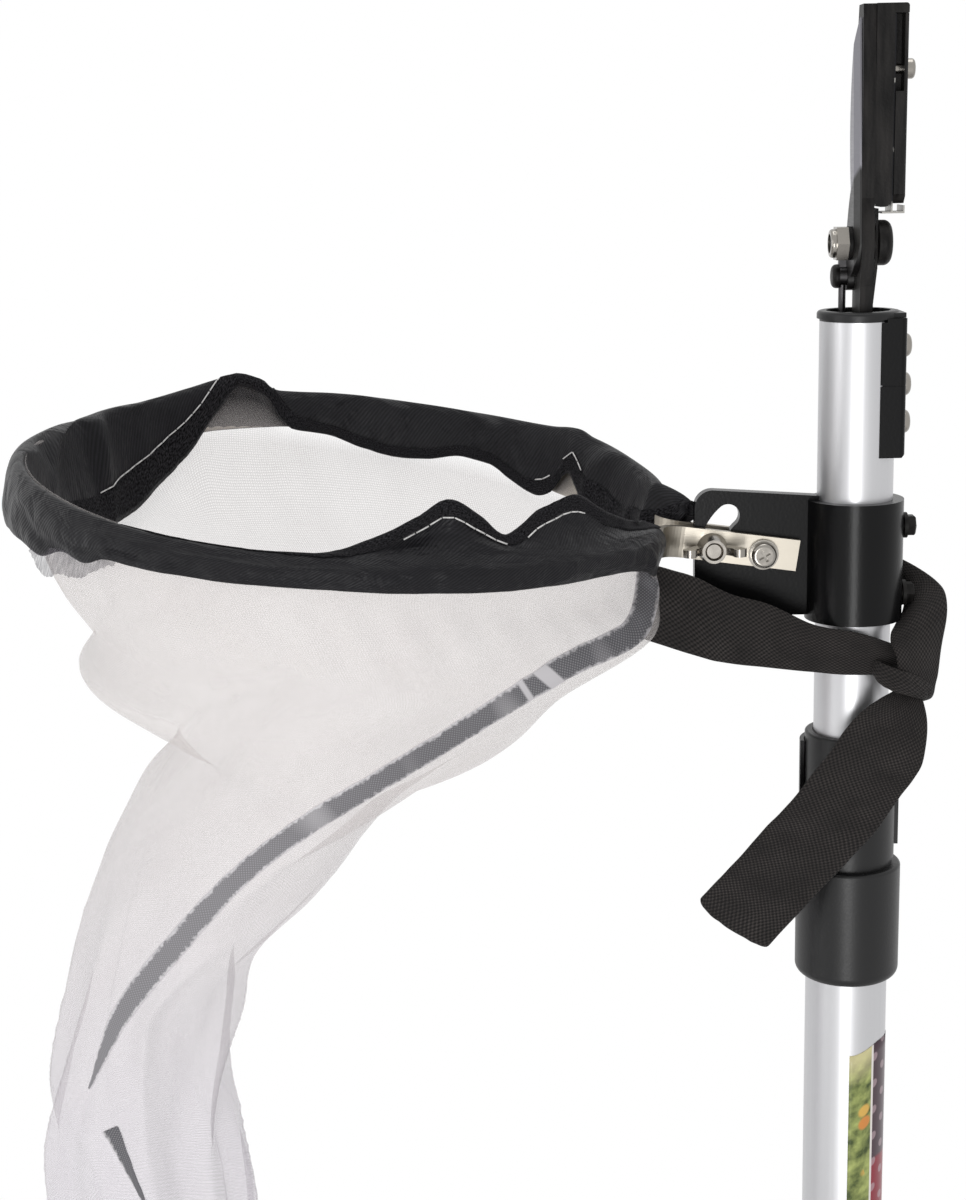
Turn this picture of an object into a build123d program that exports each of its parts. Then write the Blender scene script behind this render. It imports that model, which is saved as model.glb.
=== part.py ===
"""Telescopic fruit picker: cutting head and catch net on a two-section pole with a squeeze handle.

The frame's origin is on the pole's axis, in the middle of the butt. +Z runs up the pole, +X points away
from the net and +Y points to the back of the net bracket. Everything is in millimetres and degrees.
"""

import os
from math import atan2, cos, degrees, radians, sin, sqrt

from build123d import *

os.makedirs("parts", exist_ok=True)

# Drive recesses of the screws
recess_w = 0.9
recess_len = 4.2
recess_d = 1.3
socket_af = 5.0
socket_d = 2.2

# Gaps and fits
slide_gap = 0.3  # round a tube or a soft piece that slides or hangs beside its neighbour
fit_gap = 0.05  # round a pin, plug or shaft in its hole
seat_gap = 0.1  # between flat faces that bear on each other

# Pole tubes
inner_od = 25.0
inner_wall = 1.2
outer_od = 28.0
outer_bottom = -40.0
inner_bottom = 340.0
cap_top = 1150.0

# Top cap and saddle block on the inner tube
cap_rim_r = 13.4
cap_rim_h = 2.5
cap_neck_h = 0.8
cap_plug_h = 14.0
cap_well_r = 10.4
cap_well_h = 3.0
cap_tab_h = 2.0
saddle_x = 14.2
saddle_half_y = 11.2
saddle_bottom = 47.4
saddle_seam = 24.0
saddle_groove = 0.35
head_screw_drops = (11.7, 24.4, 36.8)
head_screw_r = 1.95
head_screw_head_r = 3.95
head_screw_head_h = 3.2

# Cutting head: plates stand in the YZ plane, stacked along X
plate_x = -0.8
plate_t = 4.0
shank_half_y = 7.0
shank_foot = 49.0
pivot_h = 21.5
jaw_h = 96.0
blade_t = 1.9
blade_tip_h = 92.0
blade_edge_t = 0.6
blade_bevel = 4.0
blade_waist_h = 17.0
blade_waist_y = 2.0
pivot_r = 3.0
lobe_r = 9.0
bolt_head_r = 7.3
bolt_head_h = 4.6
washer_t = 1.2
washer_r = 5.4
nut_af = 10.5
nut_h = 5.6
leaf_t = 0.8
leaf_half_y = 3.6
leaf_foot = 8.0
tail_y = 7.5
tail_drop = 11.0
tail_pin_r = 1.5
tail_head_r = 3.9
tail_head_h = 2.3
tail_slack = 0.3
blade_swing = 25.0

# Holder beside the counter plate
holder_half_y = 6.0
holder_foot_h = 33.0
holder_block_t = 5.7
holder_plate_t = 3.8
holder_strip_t = 0.5
holder_bridge_h = 3.0
holder_screw_drop = 20.0
holder_pocket_y = 5.5
holder_pocket_low = 7.0
holder_lip_t = 1.2
holder_foot_t = 0.6
holder_screw_r = 1.6
holder_screw_head_r = 3.2
holder_screw_head_h = 3.0

# Pull rod and its drive
rod_r = 1.2
rod_eye_t = 2.4
rod_tongue_h = 6.0
rod_jog_top = 60.0
rod_jog_bottom = 110.0
rod_foot = 460.0
drive_tube_r = 4.0
drive_tube_bore = 3.0
clutch_r = 6.5
clutch_h = 18.0
clutch_top = 1000.0
bush_h = 12.0
bush_plug_h = 16.0
yoke_r = 7.5
yoke_h = 20.0
yoke_pin_r = 1.5
yoke_slack = 0.15

# Squeeze handle
trigger_z = 262.0
trigger_arm = 17.2
trigger_swing = 14.0
trigger_t = 8.0
trigger_pin_r = 2.0
trigger_boss_r = 5.4
trigger_bar_h = 10.0
trigger_reach = 30.0
trigger_blade_t = 8.0
trigger_length = 150.0
trigger_pad_w = 17.0
trigger_pad_top = 46.0
shell_x = (-25.0, 21.5)
shell_half_y = 18.5
shell_below = 38.0
shell_above = 34.0
shell_corner = 14.0
shell_edge = 4.0
shell_wall = 2.0
shell_screw_r = 1.5
shell_screw_head_r = 2.8
shell_screw_head_h = 2.0
grip_bottom = 62.0
grip_wall = 3.5

# End cap with its hanging eye
butt_r = 16.5
butt_half_h = 45.0
hang_eye_r = 11.0
hang_hole_r = 4.0
hang_drop = 9.0
hang_half_t = 5.0

# Pole lock: collar, cam lever and brake shoe
collar_drop = 142.0
collar_neck_h = 44.1
collar_groove_h = 2.4
collar_sleeve_h = 41.0
collar_neck_wall = 2.6
collar_sleeve_wall = 3.75
collar_groove_cut = 0.6
lever_angle = 60.0
lever_wrap = 122.0
lever_t = 1.4
lever_barrel_r = 2.4
lever_pin_r = 1.5
lever_lug_h = 3.2
shoe_w = 7.0
shoe_h = 16.0

# Net bracket
bracket_drop = 62.2
bracket_h = 40.4
bracket_wall = 3.6
ear_x = -53.5
ear_t = 5.0
ear_top = 57.8
ear_fall = 3.9
ear_bottom = 101.0
ear_corner = 6.0
clamp_screw_drops = (71.6, 94.5)
clamp_screw_r = 2.4
clamp_flange_r = 4.3
clamp_flange_h = 1.2
clamp_hex_af = 6.4
clamp_hex_h = 2.8

# Hoop and its two bolts
hoop_pivot_x = -31.0
hoop_pivot_drop = 79.6
hoop_tilt = 8.0
hoop_lean = 2.2
hoop_rise = 1.0
hoop_r = 105.5
hoop_reach = 35.1
hoop_strip_t = 2.0
hoop_strip_w = 10.5
hoop_bend_r = 9.0
hoop_tab_end = 11.6
tab_gap = 0.5
tilt_up = 40.0
tilt_down = 4.0
wing_arm = 17.1
wing_bolt_r = 2.95
slot_clear = 0.95
hoop_screw_r = 2.5
hoop_washer_r = 5.0
hoop_washer_t = 1.0
hoop_head_r = 4.2
hoop_head_h = 2.8
wing_hub_r = 5.1
wing_hub_h = 6.6
wing_bolt_set = 0.8
wing_span = 10.4
wing_t = 2.6
wing_h = 9.0

# Soft pieces
sleeve_w = 8.0
sleeve_h = 20.0
sleeve_rise = 4.0
sleeve_gap_angle = 12.0
bag_wall = 1.6
bag_inset = 2.0
bag_drops = (101.0, 119.0, 138.0, 180.0, 222.0, 312.0, 420.0, 466.0)
strap_t = 2.2
strap_top = 107.5
strap_h = 13.5
tail_front = 19.2
# The strap's outlines, seen from the front: X, and height above the top of its loop
strap_lead_top = ((-42.0, 18.0), (-36.0, 15.5), (-14.5, 5.3), (-5.6, -0.2), (14.0, -1.0))
strap_lead_low = ((-12.0, -10.4), (-31.0, -7.7), (-42.0, -5.5))
strap_tail_line = ((8.0, -10.5), (25.0, -13.5), (25.0, -29.5), (-30.8, -102.5), (-52.0, -86.0))
strap_corner_line = ((-68.5, 22.0), (-54.0, 20.0), (-54.0, -5.0), (-68.5, -1.0))
knot_size = (16.0, 26.0, 19.0)
knot_at = (8.5, -7.0, -10.0)
knot_corner = 5.0
riser_size = (13.0, 4.0, 32.0)
riser_at = (10.7, 6.6, 7.5)

# Sizes that follow from the ones above
inner_r = inner_od / 2
hoop_centre = hoop_r + hoop_reach
bag_top_r = hoop_r - bag_inset
holder_screw_h = jaw_h - holder_screw_drop
inner_bore = inner_r - inner_wall
outer_bore = inner_r + slide_gap
outer_r = outer_od / 2
inner_top = cap_top - cap_rim_h - cap_neck_h
collar_top = cap_top - collar_drop
collar_neck_r = outer_bore + collar_neck_wall
collar_sleeve_r = outer_r + collar_sleeve_wall
groove_top = collar_top - collar_neck_h
sleeve_top = groove_top - collar_groove_h
collar_bottom = sleeve_top - collar_sleeve_h
outer_top = groove_top
plate_right = plate_x + plate_t
blade_right = plate_x - seat_gap
blade_left = blade_right - blade_t
pivot_z = cap_top + pivot_h
tail_z = pivot_z - tail_drop
rod_x = blade_left - seat_gap - rod_eye_t / 2
shell_bore = outer_r + fit_gap
shell_top = trigger_z + shell_above
shell_bottom = trigger_z - shell_below
grip_top = shell_bottom - seat_gap
bracket_r = inner_r + fit_gap + bracket_wall
bracket_top = cap_top - bracket_drop
bracket_bottom = bracket_top - bracket_h
hoop_pivot_z = cap_top - hoop_pivot_drop
hoop_tab_y = ear_t / 2 + tab_gap + hoop_strip_t / 2
tab_face_y = hoop_tab_y + hoop_strip_t / 2 + hoop_strip_w / 2 * sin(radians(hoop_lean)) + seat_gap


def level(z):
    """Plane square to the pole at a height."""
    return Plane.XY.offset(z)


def facing_right(x, y=0.0, z=0.0):
    """Plane whose normal is +X and whose sketch runs along Y and Z."""
    return Plane(origin=(x, y, z), x_dir=(0, 1, 0), z_dir=(1, 0, 0))


def facing_front(y, x=0.0, z=0.0):
    """Plane whose normal is -Y and whose sketch runs along X and Z."""
    return Plane(origin=(x, y, z), x_dir=(1, 0, 0), z_dir=(0, -1, 0))


def save(builder, name):
    """Label a finished piece and write it."""
    builder.part.label = name
    export_step(builder.part, f"parts/{name}.step")


# Outer tube, with a slot on both sides for the trigger's arm
trigger_lift = (trigger_arm + outer_r) * sin(radians(trigger_swing))
slot_w = trigger_t + 2 * slide_gap
slot_low = trigger_z - trigger_bar_h / 2 - slot_w / 2
slot_high = trigger_z + trigger_bar_h / 2 + trigger_lift + slot_w / 2
with BuildPart() as outer_tube:
    with BuildSketch(level(outer_bottom)):
        Circle(outer_r)
        Circle(outer_bore, mode=Mode.SUBTRACT)
    extrude(amount=outer_top - outer_bottom)
    with BuildSketch(Plane.YZ):
        with Locations((0, (slot_low + slot_high) / 2)):
            SlotOverall(slot_high - slot_low, slot_w, rotation=90)
    extrude(amount=outer_od, both=True, mode=Mode.SUBTRACT)
save(outer_tube, "outer_tube")

# Inner tube, drilled on its right side for the head screws and the bracket's clamp screws
with BuildPart() as inner_tube:
    with BuildSketch(level(inner_bottom)):
        Circle(inner_r)
        Circle(inner_bore, mode=Mode.SUBTRACT)
    extrude(amount=inner_top - inner_bottom)
    with BuildSketch(Plane.YZ):
        with Locations(*[(0, cap_top - drop) for drop in head_screw_drops]):
            Circle(head_screw_r + fit_gap)
    extrude(amount=inner_od, mode=Mode.SUBTRACT)
save(inner_tube, "inner_tube")

# Bush at the foot of the inner tube, which rides in the outer tube and guides the drive tube
with BuildPart() as inner_bush:
    with BuildSketch(level(inner_bottom - bush_h)):
        Circle(outer_bore - fit_gap)
    extrude(amount=bush_h)
    with BuildSketch(level(inner_bottom)):
        Circle(inner_bore - fit_gap)
    extrude(amount=bush_plug_h)
    with BuildSketch(level(inner_bottom - bush_h)):
        Circle(drive_tube_r + slide_gap)
    extrude(amount=bush_h + bush_plug_h, mode=Mode.SUBTRACT)
    chamfer(inner_bush.edges().filter_by(GeomType.CIRCLE).group_by(Axis.Z)[0].sort_by(SortBy.RADIUS)[-1], 1.0)
save(inner_bush, "inner_bush")

# Top cap: rim with a well, plug in the tube, slot for the shank, hole for the rod and a pointed tab
with BuildPart() as top_cap:
    with BuildSketch(level(cap_top - cap_rim_h)):
        Circle(cap_rim_r)
    extrude(amount=cap_rim_h)
    fillet(top_cap.edges().group_by(Axis.Z)[-1], 1.2)
    with BuildSketch(level(inner_top)):
        Circle(inner_r)
    extrude(amount=cap_neck_h)
    with BuildSketch(level(inner_top)):
        Circle(inner_bore - fit_gap)
    extrude(amount=-cap_plug_h)
    with BuildSketch(level(cap_top - cap_tab_h - seat_gap)):
        Polygon(
            (0, -saddle_half_y),
            (saddle_x, -saddle_half_y * 0.7),
            (saddle_x, saddle_half_y * 0.7),
            (0, saddle_half_y),
            align=None,
        )
    extrude(amount=cap_tab_h - 0.5)
    with BuildSketch(level(cap_top - cap_well_h)):
        Circle(cap_well_r)
    extrude(amount=cap_well_h, mode=Mode.SUBTRACT)
    with BuildSketch(level(inner_top - cap_plug_h)):
        with Locations((plate_x + plate_t / 2, 0)):
            Rectangle(plate_t + 2 * fit_gap, 2 * shank_half_y + 2 * fit_gap)
        with Locations((plate_right + leaf_t, 0)):
            Rectangle(3 * leaf_t, 2 * leaf_half_y + 2 * slide_gap)
        with Locations((rod_x, tail_y)):
            Circle(rod_r + slide_gap)
    extrude(amount=cap_plug_h + cap_neck_h + cap_rim_h, mode=Mode.SUBTRACT)
    with BuildSketch(Plane.YZ):
        with Locations(*[(0, cap_top - drop) for drop in head_screw_drops]):
            Circle(head_screw_r + fit_gap)
    extrude(amount=inner_od, mode=Mode.SUBTRACT)
save(top_cap, "top_cap")

# Saddle block on the tube's right side, with a seam round it at half its height
saddle_top = cap_top - cap_tab_h - 2 * seat_gap
with BuildPart() as saddle:
    with BuildSketch(level(cap_top - saddle_bottom)):
        with Locations((saddle_x / 2, 0)):
            Rectangle(saddle_x, 2 * saddle_half_y)
        Circle(inner_r + fit_gap, mode=Mode.SUBTRACT)
    extrude(amount=saddle_top - cap_top + saddle_bottom)
    with BuildSketch(level(inner_top - seat_gap)):
        Circle(cap_rim_r + seat_gap)
    extrude(amount=cap_rim_h, mode=Mode.SUBTRACT)
    chamfer(saddle.faces().sort_by(Axis.X)[-1].edges().group_by(Axis.Z)[0], 1.2)
    fillet(saddle.edges().filter_by(Axis.Z).group_by(Axis.X)[-1], 1.8)
    with BuildSketch(level(cap_top - saddle_seam)):
        with Locations((saddle_x / 2, 0)):
            Rectangle(saddle_x, 2 * saddle_half_y)
            Rectangle(saddle_x - 2 * saddle_groove, 2 * (saddle_half_y - saddle_groove), mode=Mode.SUBTRACT)
    extrude(amount=saddle_groove, mode=Mode.SUBTRACT)
    with BuildSketch(Plane.YZ):
        with Locations(*[(0, cap_top - drop) for drop in head_screw_drops]):
            Circle(head_screw_r + fit_gap)
    extrude(amount=inner_od, mode=Mode.SUBTRACT)
save(saddle, "saddle")

# Head screws: through the saddle and the tube into the counter plate's shank
with BuildPart() as head_screws:
    for drop in head_screw_drops:
        with BuildSketch(facing_right(saddle_x + fit_gap, z=cap_top - drop)):
            Circle(head_screw_head_r)
        extrude(amount=head_screw_head_h)
        with BuildSketch(facing_right(plate_x, z=cap_top - drop)):
            Circle(head_screw_r)
        extrude(amount=saddle_x + fit_gap - plate_x)
    fillet(head_screws.edges().group_by(Axis.X)[-1], 2.0)
    for drop in head_screw_drops:
        with BuildSketch(facing_right(saddle_x + fit_gap + head_screw_head_h, z=cap_top - drop)):
            Rectangle(recess_len, recess_w)
            Rectangle(recess_w, recess_len)
        extrude(amount=-recess_d, mode=Mode.SUBTRACT)
save(head_screws, "head_screws")

# Counter plate: shank in the tube, lobe round the pivot and a jaw that the blade shears past
jaw_root_h = pivot_h + 1.6 * lobe_r
lobe_low = pivot_h - 1.5 * lobe_r
with BuildPart() as counter_plate:
    with BuildSketch(facing_right(plate_x, z=cap_top)):
        with BuildLine():
            Line((-shank_half_y, -shank_foot), (shank_half_y, -shank_foot))
            Line((shank_half_y, -shank_foot), (shank_half_y, lobe_low))
            ThreePointArc((shank_half_y, lobe_low), (lobe_r, pivot_h), (7.5, jaw_root_h))
            ThreePointArc((7.5, jaw_root_h), (8.0, 0.66 * jaw_h), (3.5, jaw_h))
            Line((3.5, jaw_h), (-4.0, jaw_h))
            ThreePointArc((-4.0, jaw_h), (-6.4, 0.7 * jaw_h), (-6.6, jaw_root_h))
            ThreePointArc((-6.6, jaw_root_h), (-lobe_r, pivot_h), (-shank_half_y, lobe_low))
            Line((-shank_half_y, lobe_low), (-shank_half_y, -shank_foot))
        make_face()
        with Locations(*[(0, -drop) for drop in head_screw_drops]):
            Circle(head_screw_r + fit_gap, mode=Mode.SUBTRACT)
        with Locations((0, pivot_h)):
            Circle(pivot_r + fit_gap, mode=Mode.SUBTRACT)
        with Locations((0, holder_screw_h)):
            Circle(holder_screw_r + fit_gap, mode=Mode.SUBTRACT)
    extrude(amount=plate_t)
save(counter_plate, "counter_plate")

# Blade: leaf with one ground edge and a waist, lobe round the pivot and a tang that carries the tail pin
with BuildPart() as blade:
    with BuildSketch(facing_right(blade_left, z=pivot_z)):
        with BuildLine():
            ThreePointArc((-lobe_r, 0), (-5.6, 0.5 * (blade_tip_h - pivot_h)), (-2.0, blade_tip_h - pivot_h))
            ThreePointArc(
                (-2.0, blade_tip_h - pivot_h),
                (2.4 * blade_waist_y, 0.62 * (blade_tip_h - pivot_h)),
                (blade_waist_y, blade_waist_h),
            )
            ThreePointArc((blade_waist_y, blade_waist_h), (0.72 * lobe_r, 0.5 * blade_waist_h), (lobe_r, 0))
            Line((lobe_r, 0), (tail_y + 3.6, -tail_drop))
            ThreePointArc((tail_y + 3.6, -tail_drop), (tail_y, -tail_drop - 4.6), (tail_y - 4.2, -tail_drop))
            ThreePointArc((tail_y - 4.2, -tail_drop), (-6.4, -6.4), (-lobe_r, 0))
        make_face()
        Circle(pivot_r + fit_gap, mode=Mode.SUBTRACT)
        with Locations((tail_y, -tail_drop)):
            Circle(tail_pin_r + fit_gap, mode=Mode.SUBTRACT)
    extrude(amount=blade_t)
    flat_side = blade.faces().sort_by(Axis.X)[0]
    ground_edge = flat_side.edges().filter_by(GeomType.CIRCLE).sort_by(Axis.Y).sort_by(SortBy.LENGTH)[-1]
    chamfer(ground_edge, blade_bevel, blade_t - blade_edge_t, reference=flat_side)
save(blade, "blade")

# Tail pin with a domed head, which the rod's eye hangs on
tail_head_x = rod_x - rod_eye_t / 2 - seat_gap
with BuildPart() as tail_pin:
    with BuildSketch(facing_right(blade_right, y=tail_y, z=tail_z)):
        Circle(tail_pin_r)
    extrude(amount=tail_head_x - blade_right)
    with BuildSketch(facing_right(tail_head_x, y=tail_y, z=tail_z)):
        Circle(tail_head_r)
    extrude(amount=-tail_head_h)
    fillet(tail_pin.edges().group_by(Axis.X)[0], 1.6)
save(tail_pin, "tail_pin")

# Pivot: bolt from the right, spacer and washers, domed lock nut on the left
spacer_x = plate_right + seat_gap / 2
leaf_x = spacer_x + washer_t + seat_gap / 2
bolt_x = leaf_x + leaf_t + seat_gap / 2
nut_x = blade_left - seat_gap - washer_t - seat_gap / 2
with BuildPart() as pivot_bolt:
    with BuildSketch(facing_right(bolt_x, z=pivot_z)):
        Circle(bolt_head_r)
    extrude(amount=bolt_head_h)
    fillet(pivot_bolt.edges().group_by(Axis.X)[-1], 2.4)
    with BuildSketch(facing_right(bolt_x, z=pivot_z)):
        Circle(pivot_r)
    extrude(amount=nut_x - nut_h + 1.0 - bolt_x)
    with BuildSketch(facing_right(bolt_x + bolt_head_h, z=pivot_z)):
        RegularPolygon(socket_af / 2, 6, major_radius=False)
    extrude(amount=-socket_d, mode=Mode.SUBTRACT)
save(pivot_bolt, "pivot_bolt")

with BuildPart() as pivot_washers:
    for x in (spacer_x, nut_x + seat_gap / 2):
        with BuildSketch(facing_right(x, z=pivot_z)):
            Circle(washer_r)
            Circle(pivot_r + fit_gap, mode=Mode.SUBTRACT)
        extrude(amount=washer_t)
save(pivot_washers, "pivot_washers")

with BuildPart() as pivot_nut:
    with BuildSketch(facing_right(nut_x, z=pivot_z)):
        RegularPolygon(nut_af / 2, 6, major_radius=False)
    extrude(amount=-0.68 * nut_h)
    with BuildSketch(facing_right(nut_x - 0.68 * nut_h, z=pivot_z)):
        Circle(0.44 * nut_af)
    extrude(amount=-0.32 * nut_h)
    fillet(pivot_nut.edges().group_by(Axis.X)[0], 0.9)
    with BuildSketch(facing_right(nut_x, z=pivot_z)):
        Circle(pivot_r + fit_gap)
    extrude(amount=-nut_h, mode=Mode.SUBTRACT)
save(pivot_nut, "pivot_nut")

# Leaf strip under the bolt's head, bent back to the shank and let into the cap
leaf_low_x = plate_right + seat_gap
with BuildPart() as leaf_strip:
    with BuildSketch(facing_front(leaf_half_y, z=cap_top)):
        with BuildLine():
            Polyline(
                (leaf_low_x, -leaf_foot),
                (leaf_low_x, 2.0),
                (leaf_x, pivot_h - 8.0),
                (leaf_x, pivot_h + 11.0),
                (leaf_x + leaf_t, pivot_h + 11.0),
                (leaf_x + leaf_t, pivot_h - 8.0),
                (leaf_low_x + leaf_t, 2.0),
                (leaf_low_x + leaf_t, -leaf_foot),
                close=True,
            )
        make_face()
    extrude(amount=2 * leaf_half_y)
    with BuildSketch(facing_right(leaf_x, z=pivot_z)):
        Circle(pivot_r + fit_gap)
    extrude(amount=leaf_t, mode=Mode.SUBTRACT)
save(leaf_strip, "leaf_strip")

# Holder: block with a bridge at its top, spring strip with a turned-up foot, outer plate with a pocket, and the screw through them
holder_x = plate_right + seat_gap / 2
strip_x = holder_x + holder_block_t + seat_gap / 2
outer_x = strip_x + holder_strip_t + seat_gap / 2
holder_right = outer_x + holder_plate_t
bridge_low = jaw_h - holder_bridge_h
with BuildPart() as holder_block:
    with BuildSketch(facing_front(holder_half_y, z=cap_top)):
        with BuildLine():
            Polyline(
                (holder_x, holder_foot_h),
                (holder_x + holder_block_t, holder_foot_h),
                (holder_x + holder_block_t, bridge_low),
                (holder_right, bridge_low),
                (holder_right, jaw_h),
                (holder_x, jaw_h),
                close=True,
            )
        make_face()
    extrude(amount=2 * holder_half_y)
    fillet(holder_block.edges().filter_by(Axis.Y).group_by(Axis.Z)[0], 2.4)
    fillet(holder_block.edges().filter_by(Axis.Y).group_by(Axis.X)[-1].sort_by(Axis.Z)[-1], 1.0)
    with BuildSketch(facing_right(holder_x, z=cap_top + holder_screw_h)):
        Circle(holder_screw_r + fit_gap)
    extrude(amount=holder_block_t, mode=Mode.SUBTRACT)
save(holder_block, "holder_block")

with BuildPart() as holder_strip:
    with BuildSketch(facing_front(holder_half_y - 1.0, z=cap_top)):
        with BuildLine():
            Polyline(
                (strip_x, bridge_low - seat_gap),
                (strip_x, holder_foot_h - 1.5),
                (holder_x + holder_block_t / 2, holder_foot_h - 1.5),
                (holder_x + holder_block_t / 2, holder_foot_h - 1.5 - holder_foot_t),
                (holder_right, holder_foot_h - 1.5 - holder_foot_t),
                (holder_right, holder_foot_h + 0.4),
                (holder_right - holder_strip_t, holder_foot_h + 0.4),
                (holder_right - holder_strip_t, holder_foot_h - 1.5),
                (strip_x + holder_strip_t, holder_foot_h - 1.5),
                (strip_x + holder_strip_t, bridge_low - seat_gap),
                close=True,
            )
        make_face()
    extrude(amount=2 * holder_half_y - 2.0)
    with BuildSketch(facing_right(strip_x, z=cap_top + holder_screw_h)):
        Circle(holder_screw_r + fit_gap)
    extrude(amount=holder_strip_t, mode=Mode.SUBTRACT)
save(holder_strip, "holder_strip")

with BuildPart() as holder_plate:
    with BuildSketch(facing_right(outer_x, z=cap_top)):
        with BuildLine():
            Polyline(
                (-holder_half_y, bridge_low - seat_gap),
                (-holder_half_y, holder_foot_h + 4.0),
                (-holder_half_y + 3.0, holder_foot_h + 1.0),
                (holder_half_y - 3.0, holder_foot_h + 1.0),
                (holder_half_y, holder_foot_h + 4.0),
                (holder_half_y, bridge_low - seat_gap),
                close=True,
            )
        make_face()
        with Locations((0, holder_screw_h)):
            Circle(holder_screw_r + fit_gap, mode=Mode.SUBTRACT)
    extrude(amount=holder_plate_t)
    chamfer(holder_plate.edges().filter_by(Axis.Z).group_by(Axis.X)[-1], 0.6)
    pocket_high = bridge_low - seat_gap
    pocket_low = holder_screw_h - holder_pocket_low
    with BuildSketch(facing_right(outer_x, z=cap_top)):
        with Locations((holder_pocket_y / 2 - holder_half_y, (pocket_low + pocket_high) / 2)):
            Rectangle(holder_pocket_y, pocket_high - pocket_low)
    extrude(amount=holder_plate_t - holder_lip_t, mode=Mode.SUBTRACT)
save(holder_plate, "holder_plate")

with BuildPart() as holder_screw:
    with BuildSketch(facing_right(holder_right + fit_gap, z=cap_top + holder_screw_h)):
        Circle(holder_screw_head_r)
    extrude(amount=holder_screw_head_h)
    fillet(holder_screw.edges().group_by(Axis.X)[-1], 1.0)
    with BuildSketch(facing_right(plate_x + seat_gap, z=cap_top + holder_screw_h)):
        Circle(holder_screw_r)
    extrude(amount=holder_right + fit_gap - plate_x - seat_gap)
    with BuildSketch(facing_right(holder_right + fit_gap + holder_screw_head_h, z=cap_top + holder_screw_h)):
        Rectangle(recess_len, recess_w)
        Rectangle(recess_w, recess_len)
    extrude(amount=-recess_d, mode=Mode.SUBTRACT)
save(holder_screw, "holder_screw")

# Pull rod: slotted eye on the tail pin, straight through the cap, then a jog to the pole's axis
swing = radians(blade_swing)
eye_travel = tail_y * cos(swing) + tail_drop * sin(swing) - tail_y
eye_slot_w = 2 * (tail_pin_r + tail_slack)
eye_slot_len = eye_travel + eye_slot_w
eye_mid_y = tail_y + eye_travel / 2
rod_run = [
    (rod_x, tail_y, tail_z),
    (rod_x, tail_y, cap_top - rod_jog_top),
    (0, 0, cap_top - rod_jog_bottom),
    (0, 0, rod_foot),
]
with BuildPart() as pull_rod:
    with BuildLine():
        rod_path = FilletPolyline(*rod_run, radius=40)
    with BuildSketch(Plane(origin=rod_run[-1], z_dir=(0, 0, 1))):
        Circle(rod_r)
    sweep(path=rod_path)
    with BuildSketch(facing_right(rod_x - rod_eye_t / 2, y=eye_mid_y, z=tail_z)):
        SlotOverall(eye_slot_len + 2 * rod_r, eye_slot_w + 2 * rod_r)
        with Locations((tail_y - eye_mid_y + rod_r / 2, rod_tongue_h / 2)):
            Rectangle(2 * rod_r, rod_tongue_h)
    extrude(amount=rod_eye_t)
    with BuildSketch(facing_right(rod_x - rod_eye_t, y=eye_mid_y, z=tail_z)):
        SlotOverall(eye_slot_len, eye_slot_w)
    extrude(amount=2 * rod_eye_t, mode=Mode.SUBTRACT)
save(pull_rod, "pull_rod")

# Drive tube round the rod, clutch at its top and yoke at its foot
yoke_crown = trigger_z + trigger_bar_h / 2 + 2.2
with BuildPart() as drive_tube:
    with BuildSketch(level(yoke_crown + seat_gap + 3.0)):
        Circle(drive_tube_r)
        Circle(drive_tube_bore, mode=Mode.SUBTRACT)
    extrude(amount=clutch_top - clutch_h / 2 - yoke_crown - seat_gap - 3.0)
save(drive_tube, "drive_tube")

with BuildPart() as rod_clutch:
    with BuildSketch(level(clutch_top - clutch_h)):
        Circle(clutch_r)
        Circle(drive_tube_r + fit_gap, mode=Mode.SUBTRACT)
    extrude(amount=clutch_h / 2)
    with BuildSketch(level(clutch_top - clutch_h / 2)):
        Circle(clutch_r)
        Circle(rod_r + fit_gap, mode=Mode.SUBTRACT)
    extrude(amount=clutch_h / 2)
    chamfer(rod_clutch.edges().group_by(Axis.Z)[-1].sort_by(SortBy.RADIUS)[-1], 1.5)
save(rod_clutch, "rod_clutch")

cheek_y = trigger_t / 2 + slide_gap
with BuildPart() as drive_yoke:
    with BuildSketch(level(trigger_z - 4.5)):
        Circle(yoke_r)
    extrude(amount=yoke_crown + yoke_h - 8.0 - trigger_z + 4.5)
    with Locations((0, 0, (yoke_crown + trigger_z - 5.0) / 2)):
        Box(2 * yoke_r, 2 * cheek_y, yoke_crown - trigger_z + 5.0, mode=Mode.SUBTRACT)
    with BuildSketch(level(yoke_crown + 3.0)):
        Circle(drive_tube_r + fit_gap)
    extrude(amount=yoke_h, mode=Mode.SUBTRACT)
    with BuildSketch(Plane.XZ):
        with Locations((0, trigger_z)):
            Circle(yoke_pin_r + fit_gap)
    extrude(amount=yoke_r, both=True, mode=Mode.SUBTRACT)
save(drive_yoke, "drive_yoke")

with BuildPart() as yoke_pin:
    with BuildSketch(facing_front(yoke_r - 0.6, z=trigger_z)):
        Circle(yoke_pin_r)
    extrude(amount=2 * yoke_r - 1.2)
save(yoke_pin, "yoke_pin")

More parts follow.
